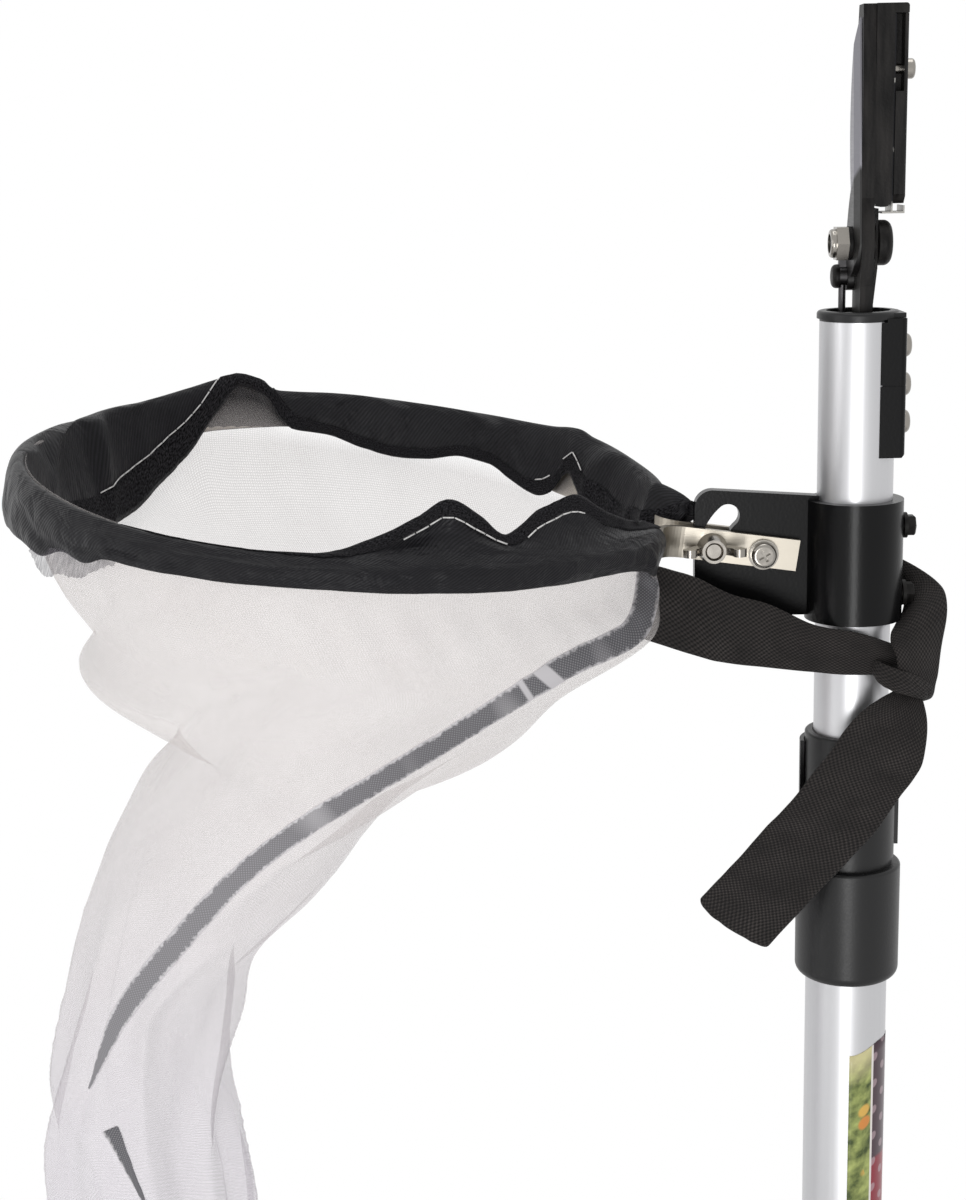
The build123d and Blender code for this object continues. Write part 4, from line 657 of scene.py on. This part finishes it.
# White lockstitch that holds the hem on both faces, where the folds leave it in sight
stitch_r = 0.24 * mm
stitches_per_degree = 0.52
stitches = bmesh.new()
for run in ((35.5, 42), (44.5, 48.5), (118, 156), (283, 301), (305, 318)):
    count = round((run[1] - run[0]) * stitches_per_degree)
    for lift in (-0.85, 0.85):
        for i in range(count):
            ends = [between(run, (i + share) / count) for share in (0.06, 0.96)]
            start, end = [near_edge(angle, hem_depth(angle) + 0.4, lift) for angle in ends]
            turn = Vector((0, 0, 1)).rotation_difference(end - start).to_matrix().to_4x4()
            bmesh.ops.create_cone(
                stitches, cap_ends=True, segments=6, radius1=stitch_r, radius2=stitch_r, depth=(end - start).length,
                matrix=Matrix.Translation((start + end) / 2) @ turn,
            )
stitches = piece("hem_stitches", stitches, thread)
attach(stitches, "net_frame")

# The hoop's strip, a copy of the CAD solid that springs a few mm out of flat, where the sleeve shows that it rides up
# or down
strip_half = 5.25
strip = bmesh.new()
strip.from_mesh(nodes["hoop_strip"].data)
bmesh.ops.remove_doubles(strip, verts=strip.verts, dist=1e-6)
for vert in strip.verts:
    spot = vert.co - hoop_mid
    turn = math.atan2(spot.dot(hoop_v), spot.dot(hoop_u))
    angle = math.degrees(turn) % 360
    hem_up, top_up = track(sleeve_rows, angle)[:2]
    low, high = hem_up + 0.8, top_up - 1.9
    # Middle of the flat strip above the cloth's plane, and the shift that brings both its edges into the sleeve
    middle = -1.9 + 2.8 * math.cos(turn) - 1.8 * math.sin(turn)
    shift = min(max(0.0, low - (middle - strip_half)), high - (middle + strip_half))
    up = spot.dot(hoop_n) / mm
    sprung = min(max(up + shift, low), high) - up
    inside = smooth_step(12, 24, angle) * (1 - smooth_step(341, 348, angle))
    vert.co += inside * sprung * mm * hoop_n
strip = piece("sprung_strip", strip, satin_strip, smooth=False)
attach(strip, "net_frame")
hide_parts("hoop_strip")

# Casing of the same cloth that keeps the strip in at the back left, where the free edge is pulled up and shows it
casing_turn = (96.0, 136.0)


def casing_point(u, w):
    """Point of the casing: u along the hoop, w up it, just inside the strip."""
    angle = between(casing_turn, u)
    hem_up, top_up = track(sleeve_rows, angle)[:2]
    return on_hoop(angle, -1.3 - 0.15 * math.sin(math.pi * w), hem_up + 0.4 + (top_up - hem_up - 1.6) * w)


casing = cloth("strip_casing", casing_point, 50, 12, (0.074, 0.018), oxford, 0.4)
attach(casing, "net_frame")

# ---------------------------------------------------------------- net bag

# Rings of the bag (mm, height above the cap's top): left X and height, right X and height, half depth, the front's
# height, and how far its front left is lifted into the lip that overhangs the tail, and its front right
bag_rows = (
    (-265.4, -78.0, -65.0, -92.5, 100.0, -90.0, 0.0, 0.0),
    (-254.2, -96.5, -67.8, -107.5, 98.0, -107.0, 0.0, 6.0),
    (-260.0, -110.5, -94.0, -122.6, 92.0, -121.0, 3.0, 4.0),
    (-246.5, -126.0, -109.0, -132.4, 84.0, -134.0, 8.0, -1.4),
    (-232.0, -133.5, -121.5, -140.4, 76.0, -146.0, 11.0, 5.0),
    (-228.5, -137.5, -131.0, -147.0, 68.0, -158.0, 10.0, 9.8),
    (-240.0, -149.0, -143.0, -154.8, 61.0, -168.0, 4.0, 12.5),
    (-247.5, -164.0, -156.2, -164.2, 56.0, -178.0, 0.0, 12.6),
    (-256.0, -181.0, -171.5, -182.0, 48.0, -192.0, 0.0, 1.0),
    (-262.0, -198.0, -187.5, -198.0, 42.0, -206.0, 0.0, 0.0),
    (-267.0, -219.0, -209.5, -220.0, 37.0, -224.0, 0.0, 0.0),
    (-272.5, -238.5, -214.5, -240.0, 33.0, -241.0, 0.0, 0.0),
    (-277.5, -262.0, -218.5, -258.0, 31.0, -261.0, 0.0, 0.0),
    (-281.5, -285.0, -217.5, -281.0, 30.0, -283.0, 0.0, 0.0),
    (-280.5, -311.0, -210.5, -312.0, 30.0, -311.5, 0.0, 0.0),
    (-279.0, -360.0, -211.0, -360.0, 29.0, -360.0, 0.0, 0.0),
    (-277.0, -420.0, -217.0, -420.0, 26.0, -420.0, 0.0, 0.0),
    (-271.0, -452.0, -225.0, -453.0, 13.0, -452.5, 0.0, 0.0),
    (-268.0, -465.5, -227.0, -465.5, 0.4, -465.5, 0.0, 0.0),
)
bag_lines = {}  # each angle's line, worked out once


def bag_line(angle):
    """The points down the bag at an angle round it, from under the sleeve to the foot."""
    if angle not in bag_lines:
        turn = math.radians(angle)
        top, edge = track(sleeve_rows, angle)[1:3]
        rear = smooth_step(20, 40, angle) * (1 - smooth_step(150, 175, angle))
        high = rear * min(edge + 3.0, top - 2.0) + (1 - rear) * 1.0
        # Between the hoop's tabs the net hangs below the strip, and its seam stands out past the sleeve's end
        seam = 1 - (smooth_step(1, 8, angle) if angle < 180 else smooth_step(11.5, 16, 360 - angle))
        points = [
            on_hoop(angle, -2.3 + 3.3 * seam, high - 7.5 * seam),
            on_hoop(angle, -2.6 + 5.8 * seam, min(high - 6.0, -9.0) - 3.5 * seam),
        ]
        ahead = max(0.0, -math.sin(turn)) ** 2
        corner = math.sin(2 * turn) if angle > 180 else 0.0
        for lx, lz, rx, rz, deep, front, left_lift, right_lift in bag_rows:
            middle = at((lx + rx) / 2, 0, (lz + rz) / 2)
            half = at(rx, 0, rz) - middle
            lift = max(0.0, corner) * left_lift + max(0.0, -corner) * right_lift
            drop = ahead * (front - (lz + rz) / 2) + lift
            points.append(middle + math.cos(turn) * half + Vector((0, math.sin(turn) * deep * mm, drop * mm)))
        bag_lines[angle] = points
    return bag_lines[angle]


def bag_point(u, w):
    """Point of the bag: u round it, w down it, with gathers under the sleeve, soft dents and folds in the tail."""
    angle = 360.0 * u
    turn = math.radians(angle)
    spot = spline(bag_line(angle), w)
    ring = Vector((math.cos(turn), math.sin(turn), 0))
    gathers = 0.5 * math.exp(-((w - 0.08) / 0.04) ** 2) * math.sin(41 * turn)
    dents = 2.2 * ripple(2.2 * ring.x, 2.2 * ring.y, 9 * w) * smooth_step(0.06, 0.2, w)
    # A pleat runs down the front left of the pouch, and the tail twists: its folds lean as they go down
    pleat = 1.6 * math.exp(-((angle - 236 - 8 * w) / 5) ** 2)
    pleat *= smooth_step(0.04, 0.1, w) * (1 - smooth_step(0.24, 0.34, w))
    lean = 3 * turn + 11 * w + 2.2 * ripple(1.5 * ring.x, 1.5 * ring.y, 5 * w)
    folds = 3.4 * smooth_step(0.46, 0.64, w) * (1 - smooth_step(0.9, 1.0, w)) * (1 - 2 * abs(math.sin(lean)))
    return spot + (gathers + dents + pleat + folds) * mm * ring


# Raw edge of the net that hangs out under the sleeve's front left: angle, then its upper and lower edge (mm)
raw_rows = (
    (214.5, -15.5, -17.6), (218, -15.0, -20.8), (221, -13.0, -22.0), (225, -11.0, -18.8),
    (229, -11.0, -18.0), (233, -9.0, -13.8), (237, -7.5, -10.0),
)


def raw_point(u, w):
    """Point of the raw edge: u along it, w down it. Its foot is torn."""
    angle = between((raw_rows[0][0], raw_rows[-1][0]), u)
    high, low = track(raw_rows, angle)
    torn = 1.2 * w * ripple(angle * 1.3, 0.0, 4.0)
    out = 2.0 + 1.2 * w + 0.8 * w * ripple(angle * 0.6, 7.0)
    return on_hoop(angle, out, between((high, low), w) + torn)


bag_flat = (0.64, 0.52)
bag_steps = (200, 150)
bag = cloth("net_pouch", bag_point, *bag_steps, bag_flat, organza, 0.2, closed=True, rounds=0)
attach(bag, "net_frame")
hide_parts("net_bag")

# Binding tape on the net's front seam, laid on the net from where the camera sees it: X, height above the cap's top
# and width
tape_path = (
    (-68.8, -85.0, 7.6), (-69.2, -92.0, 8.4), (-70.2, -98.6, 8.8), (-72.9, -105.2, 9.2), (-78.9, -109.7, 9.3),
    (-89.3, -114.2, 9.1), (-98.6, -119.0, 8.8), (-117.3, -130.4, 7.8), (-138.5, -143.7, 7.5), (-162.2, -157.8, 7.4),
    (-186.2, -172.3, 7.6), (-210.5, -190.6, 7.6), (-235.5, -217.0, 8.4), (-252.2, -237.7, 7.4), (-259.6, -251.0, 4.8),
    (-263.9, -261.0, 2.4), (-267.2, -268.6, 0.8),
)
low_tape_path = (
    (-260.8, -284.0, 6.4), (-258.8, -288.8, 5.2), (-256.6, -295.0, 4.0), (-254.0, -302.2, 2.8), (-250.8, -310.8, 1.6),
    (-249.0, -321.0, 1.4), (-249.8, -345.0, 3.8), (-251.6, -372.0, 4.2), (-253.0, -398.0, 1.6),
)
# The net's face again, for the tape to lie on
bag_mesh = bmesh.new()
bmesh.ops.create_grid(bag_mesh, x_segments=bag_steps[0], y_segments=bag_steps[1], size=0.5)
for vert in bag_mesh.verts:
    vert.co = bag_point(vert.co.x + 0.5, vert.co.y + 0.5)
bag_skin = BVHTree.FromBMesh(bag_mesh)
bag_mesh.free()


def tape_on_bag(path):
    """Shape of a tape that lies on the net's front."""
    line = even_steps([Vector(row) for row in path])[0]

    def shape(u, w):
        spot = spline(line, u)
        step = spline(line, min(1.0, u + 0.01)) - spline(line, max(0.0, u - 0.01))
        side = Vector((-step.y, step.x, 0)).normalized()
        wave = 0.35 * ripple(60 * u, 2 * w, spot.z)
        aim = spot + side * (spot.z * (w - 0.5) + wave)
        sight = (at(aim.x, 0, aim.y) - eye).normalized()
        hit = bag_skin.ray_cast(eye, sight)[0]
        return (hit or at(aim.x, 0, aim.y)) - 0.5 * mm * sight

    return shape


tape = cloth("binding_tape", tape_on_bag(tape_path), 150, 8, (0.29, tape_wide), binding, 0.4)
low_tape = cloth("binding_tape_foot", tape_on_bag(low_tape_path), 60, 6, (0.125, 0.0045), binding, 0.4)
for part in (tape, low_tape):
    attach(part, "net_frame")
raw_edge = cloth("net_raw_edge", raw_point, 60, 6, (0.054, 0.008), raw_net, 0.15, rounds=0)
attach(raw_edge, "net_frame")

# ---------------------------------------------------------------- strap

# Pairs of edge points along the webbing: X, Y and height above the cap's top, upper edge first
lead_rows = (
    ((-73.2, -13.5, -79.4), (-75.9, -13.5, -103.9)),
    ((-66.1, -15.2, -81.0), (-68.8, -14.8, -106.5)),
    ((-55.0, -18.2, -84.0), (-51.7, -17.4, -111.8)),
    ((-48.5, -18.4, -87.4), (-46.5, -17.4, -113.2)),
    ((-42.3, -17.9, -90.4), (-40.5, -16.8, -114.3)),
    ((-30.1, -16.8, -94.2), (-29.9, -16.2, -115.8)),
    ((-15.9, -16.2, -101.2), (-15.6, -15.8, -117.6)),
    ((-4.0, -15.8, -103.8), (-5.0, -15.8, -118.6)),
    ((3.1, -15.4, -105.7), (2.7, -15.4, -118.9)),
    ((9.4, -14.0, -108.3), (8.9, -14.0, -118.8)),
    ((16.2, -10.0, -111.8), (16.4, -10.0, -117.9)),
)
band_rows = (
    ((-4.0, 15.6, -86.0), (-4.0, 15.6, -106.0)),
    ((7.0, 14.9, -84.6), (7.0, 14.9, -104.6)),
    ((15.8, 12.8, -84.7), (16.2, 12.6, -103.6)),
    ((20.3, 9.5, -86.2), (19.5, 9.0, -100.4)),
    ((26.0, 4.0, -89.4), (17.6, 2.0, -102.4)),
    ((30.2, 0.0, -93.4), (13.0, -7.5, -104.6)),
    ((30.6, -5.0, -97.3), (10.4, -12.6, -106.4)),
    ((29.4, -9.0, -103.6), (9.8, -16.2, -108.4)),
    ((27.4, -12.0, -110.7), (10.6, -18.2, -110.4)),
    ((26.6, -13.0, -116.2), (11.4, -19.2, -114.0)),
    ((25.7, -13.0, -122.0), (12.2, -19.0, -118.8)),
    ((24.9, -11.0, -127.9), (15.2, -15.0, -124.6)),
    ((22.6, -7.0, -129.9), (17.5, -9.0, -127.9)),
)
knot_rows = (
    ((5.4, -13.0, -114.6), (5.5, -13.0, -118.7)),
    ((5.5, -17.5, -113.8), (6.2, -16.5, -120.9)),
    ((8.7, -20.0, -114.9), (10.1, -18.5, -123.5)),
    ((13.3, -20.0, -116.7), (15.6, -18.0, -125.5)),
    ((18.0, -18.0, -118.7), (20.4, -15.5, -127.3)),
    ((22.3, -14.0, -121.2), (23.6, -13.0, -127.7)),
)
tail_rows = (
    ((11.7, -15.0, -124.6), (20.9, -15.0, -126.8)),
    ((5.7, -18.5, -126.6), (22.1, -18.5, -133.4)),
    ((0.2, -20.0, -130.0), (21.8, -20.0, -140.8)),
    ((-5.4, -20.6, -135.9), (20.4, -20.6, -148.8)),
    ((-9.3, -20.6, -142.0), (17.5, -20.6, -154.0)),
    ((-15.1, -20.6, -149.8), (13.6, -20.6, -159.4)),
    ((-21.0, -20.6, -157.7), (9.1, -20.6, -166.3)),
    ((-25.8, -20.6, -163.4), (4.6, -20.6, -172.9)),
    ((-31.0, -20.4, -169.0), (-3.5, -20.4, -182.0)),
    ((-41.6, -20.2, -181.6), (-16.1, -20.2, -196.0)),
    ((-53.4, -20.0, -194.4), (-30.4, -20.0, -212.4)),
)


def strap_shape(rows, crown, bow):
    """Shape of a webbing between its edges, crowned in the middle by some mm. Its cut end bows out, and is frayed."""
    upper, lower = even_steps([at(*a) for a, b in rows], [at(*b) for a, b in rows])

    def shape(u, w):
        top, foot = spline(upper, u), spline(lower, u)
        step = spline(upper, min(1.0, u + 0.01)) - spline(upper, max(0.0, u - 0.01))
        face = step.cross(foot - top).normalized()
        arch = 4 * w * (1 - w)
        swell = crown * arch + 0.5 * ripple(14 * u, 3 * w, crown)
        cut = bow * smooth_step(0.93, 1.0, u) * (arch ** 0.6 * (1.3 - 0.6 * w) + 0.2 * ripple(0, 25 * w, 3))
        return top.lerp(foot, w) - face * swell * mm + step.normalized() * cut * mm

    return shape


strap_pieces = []
for name, rows, crown, bow, size, steps in (
    ("strap_lead", lead_rows, 0.8, 0.0, (0.088, 0.022), 70), ("strap_band", band_rows, 1.0, 0.0, (0.085, 0.020), 70),
    ("strap_knot", knot_rows, 1.2, 0.0, (0.024, 0.010), 40), ("strap_tail", tail_rows, 0.5, 2.8, (0.110, 0.026), 70),
):
    strap_pieces.append(cloth(name, strap_shape(rows, crown, bow), steps, 16, size, webbing, 1.5))
lead, band, knot, tail = strap_pieces
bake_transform(lead)
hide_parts("strap", "strap_corner")
for part in (band, knot, tail):
    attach(part, "inner_pole")

# ---------------------------------------------------------------- label

# Printed film label on the outer tube, from the front round to the right: a soft leaf-and-fruit coloured panel,
# a pale line, and a plum band dotted with pale berries, with a red foot
label_r = 14.08
label_turn = (-93.0, 62.0)
label_top = -251.5
label_long = 118.0


def label_point(u, w):
    """Point of the label: u down it, w from its front edge round to the back. Its top edge is cut on the skew."""
    turn = math.radians(between(label_turn, w))
    top = label_top - 4.0 * (1 - smooth_step(0.0, 0.35, w))
    return at(label_r * math.cos(turn), label_r * math.sin(turn), top - label_long * u)


label_flat = (label_long * mm, label_r * math.radians(label_turn[1] - label_turn[0]) * mm)
rule_at = 0.0089  # the pale line, from the label's front edge
film, tree, surface, flat = finish("printed_film_label", {
    "Base Color": linear("#6E7A44"), "Roughness": 0.3, "Specular IOR Level": 0.4,
}, "UV")
apart = add(tree, "SeparateXYZ", {"Vector": flat}).outputs
# Panel: foliage greens in blotches of 5 mm, with round fruit of 4 to 6 mm here and there, paler towards its top
leaves = add(tree, "TexNoise", {"Vector": flat, "Scale": 1 / 0.005, "Detail": 4.0})
green = add(tree, "ValToRGB", {"Fac": leaves}, stops=((0.35, "#3C4A1E"), (0.68, "#A9B36A")))
fruit = add(tree, "TexVoronoi", {"Vector": flat, "Scale": 1 / 0.008, "Randomness": 0.9})
ball = add(tree, "MapRange", {"Value": fruit, "From Min": 0.34, "From Max": 0.24})
tone = add(tree, "SeparateColor", {"Color": fruit.outputs["Color"]}).outputs
ripe = add(tree, "ValToRGB", {"Fac": tone[0]}, stops=((0, "#C9562C"), (1, "#D9B45A")))
picked = add(tree, "Math", {0: tone[1], 1: 0.35}, operation="GREATER_THAN")
shown = add(tree, "Math", {0: ball, 1: picked}, operation="MULTIPLY")
panel = add(tree, "MixRGB", {"Fac": shown, "Color1": green, "Color2": ripe})
dawn = add(tree, "MapRange", {"Value": apart["X"], "From Min": 0.012, "From Max": 0.0, "To Max": 0.75})
panel = add(tree, "MixRGB", {"Fac": dawn, "Color1": panel, "Color2": linear("#EADFAE")})
# Band: plum, with berries of 3 mm in staggered rows
step = add(tree, "Mapping", {"Vector": flat, "Scale": (1 / 0.007, 1 / 0.007, 1.0), "Rotation": (0, 0, 0.785)})
cell = add(tree, "VectorMath", {0: step}, operation="FRACTION")
cell = add(tree, "VectorMath", {0: cell, 1: (0.5, 0.5, 0.0)}, operation="DISTANCE").outputs["Value"]
berry = add(tree, "MapRange", {"Value": cell, "From Min": 0.24, "From Max": 0.18, "To Max": 0.6})
foot = add(tree, "MapRange", {"Value": apart["X"], "From Min": 0.043, "From Max": 0.0445})
plum = add(tree, "MixRGB", {"Fac": foot, "Color1": linear("#45303A"), "Color2": linear("#8C2233")})
plum = add(tree, "MixRGB", {"Fac": berry, "Color1": plum, "Color2": linear("#B79FA6")})
side = add(tree, "MapRange", {"Value": apart["Y"], "From Min": rule_at - 0.0001, "From Max": rule_at + 0.0001})
colour = add(tree, "MixRGB", {"Fac": side, "Color1": panel, "Color2": plum})
rule = add(tree, "Math", {0: apart["Y"], 1: rule_at}, operation="SUBTRACT")
rule = add(tree, "Math", {0: rule}, operation="ABSOLUTE")
rule = add(tree, "MapRange", {"Value": rule, "From Min": 0.0005, "From Max": 0.0004})
colour = add(tree, "MixRGB", {"Fac": rule, "Color1": colour, "Color2": linear("#E8E2DE")})
fill(tree, surface, {"Base Color": colour})
label = cloth("tube_label", label_point, 30, 40, label_flat, film, 0.08, rounds=0)
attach(label, "handle")

# ---------------------------------------------------------------- studio

# Pale floor under the butt that fades out to the white backdrop
floor = bmesh.new()
bmesh.ops.create_circle(floor, cap_ends=True, segments=96, radius=1.6, matrix=Matrix.Translation((0, 0, -0.066)))
studio, tree, surface, place = finish("pale_studio_floor", {"Base Color": linear("#F2F2F2"), "Roughness": 0.9})
level = add(tree, "VectorMath", {0: place, 1: (1, 1, 0)}, operation="MULTIPLY")
reach = add(tree, "VectorMath", {0: level}, operation="LENGTH").outputs["Value"]
fade = add(tree, "MapRange", {"Value": reach, "From Min": 0.5, "From Max": 1.5, "To Min": 1.0, "To Max": 0.0})
fill(tree, surface, {"Alpha": fade})
floor = piece("floor", floor, studio)

# White backdrop for the eye and for gloss, and a softer light from it on the object
world = bpy.data.worlds.new("studio")
bpy.context.scene.world = world
world.use_nodes = True
tree = world.node_tree
path = add(tree, "LightPath").outputs
seen = add(tree, "Math", {0: path["Is Camera Ray"], 1: path["Is Glossy Ray"]}, operation="MAXIMUM")
seen = add(tree, "Math", {0: seen, 1: path["Is Transmission Ray"]}, operation="MAXIMUM")
level = add(tree, "MapRange", {"Value": seen, "To Min": 0.56, "To Max": 1.0})
fill(tree, tree.nodes["Background"], {"Color": (1, 1, 1, 1), "Strength": level})

# Soft lamps: a narrow key from the front, a fill from the left and one from above
for name, spot, aim, wide, tall, watts in (
    ("key", (-0.30, -2.0, 0.62), (-0.05, 0, 0.95), 0.42, 1.1, 17.0),
    ("fill", (-1.9, -0.8, 1.2), (-0.05, 0, 1.05), 0.8, 1.6, 7.0),
    ("top", (0.0, 0.2, 2.9), (0, 0, 1.0), 1.2, 1.2, 10.0),
):
    lamp = bpy.data.lights.new(name, "AREA")
    lamp.shape = "RECTANGLE"
    lamp.size, lamp.size_y, lamp.energy = wide, tall, watts
    lamp = bpy.data.objects.new(name, lamp)
    lamp.location = spot
    lamp.rotation_euler = (Vector(aim) - Vector(spot)).to_track_quat("-Z", "Y").to_euler()
    bpy.context.scene.collection.objects.link(lamp)

# The camera at its place, with the sensor along the picture's taller side
ahead = Vector((0, math.cos(look_down), -math.sin(look_down)))
right = Vector((1, 0, 0))
under = ahead.cross(right)
view_right = math.cos(look_roll) * right + math.sin(look_roll) * under
view_down = -math.sin(look_roll) * right + math.cos(look_roll) * under
camera = bpy.data.objects.new("camera", bpy.data.cameras.new("camera"))
camera.matrix_world = Matrix.Translation(eye) @ Matrix((view_right, -view_down, -ahead)).transposed().to_4x4()
camera.data.sensor_width = sensor
camera.data.lens = focal_pixels * sensor / photo_tall_pixels
camera.data.clip_start = 0.01
bpy.context.scene.collection.objects.link(camera)
bpy.context.scene.camera = camera
bpy.context.scene.view_settings.view_transform = "Standard"
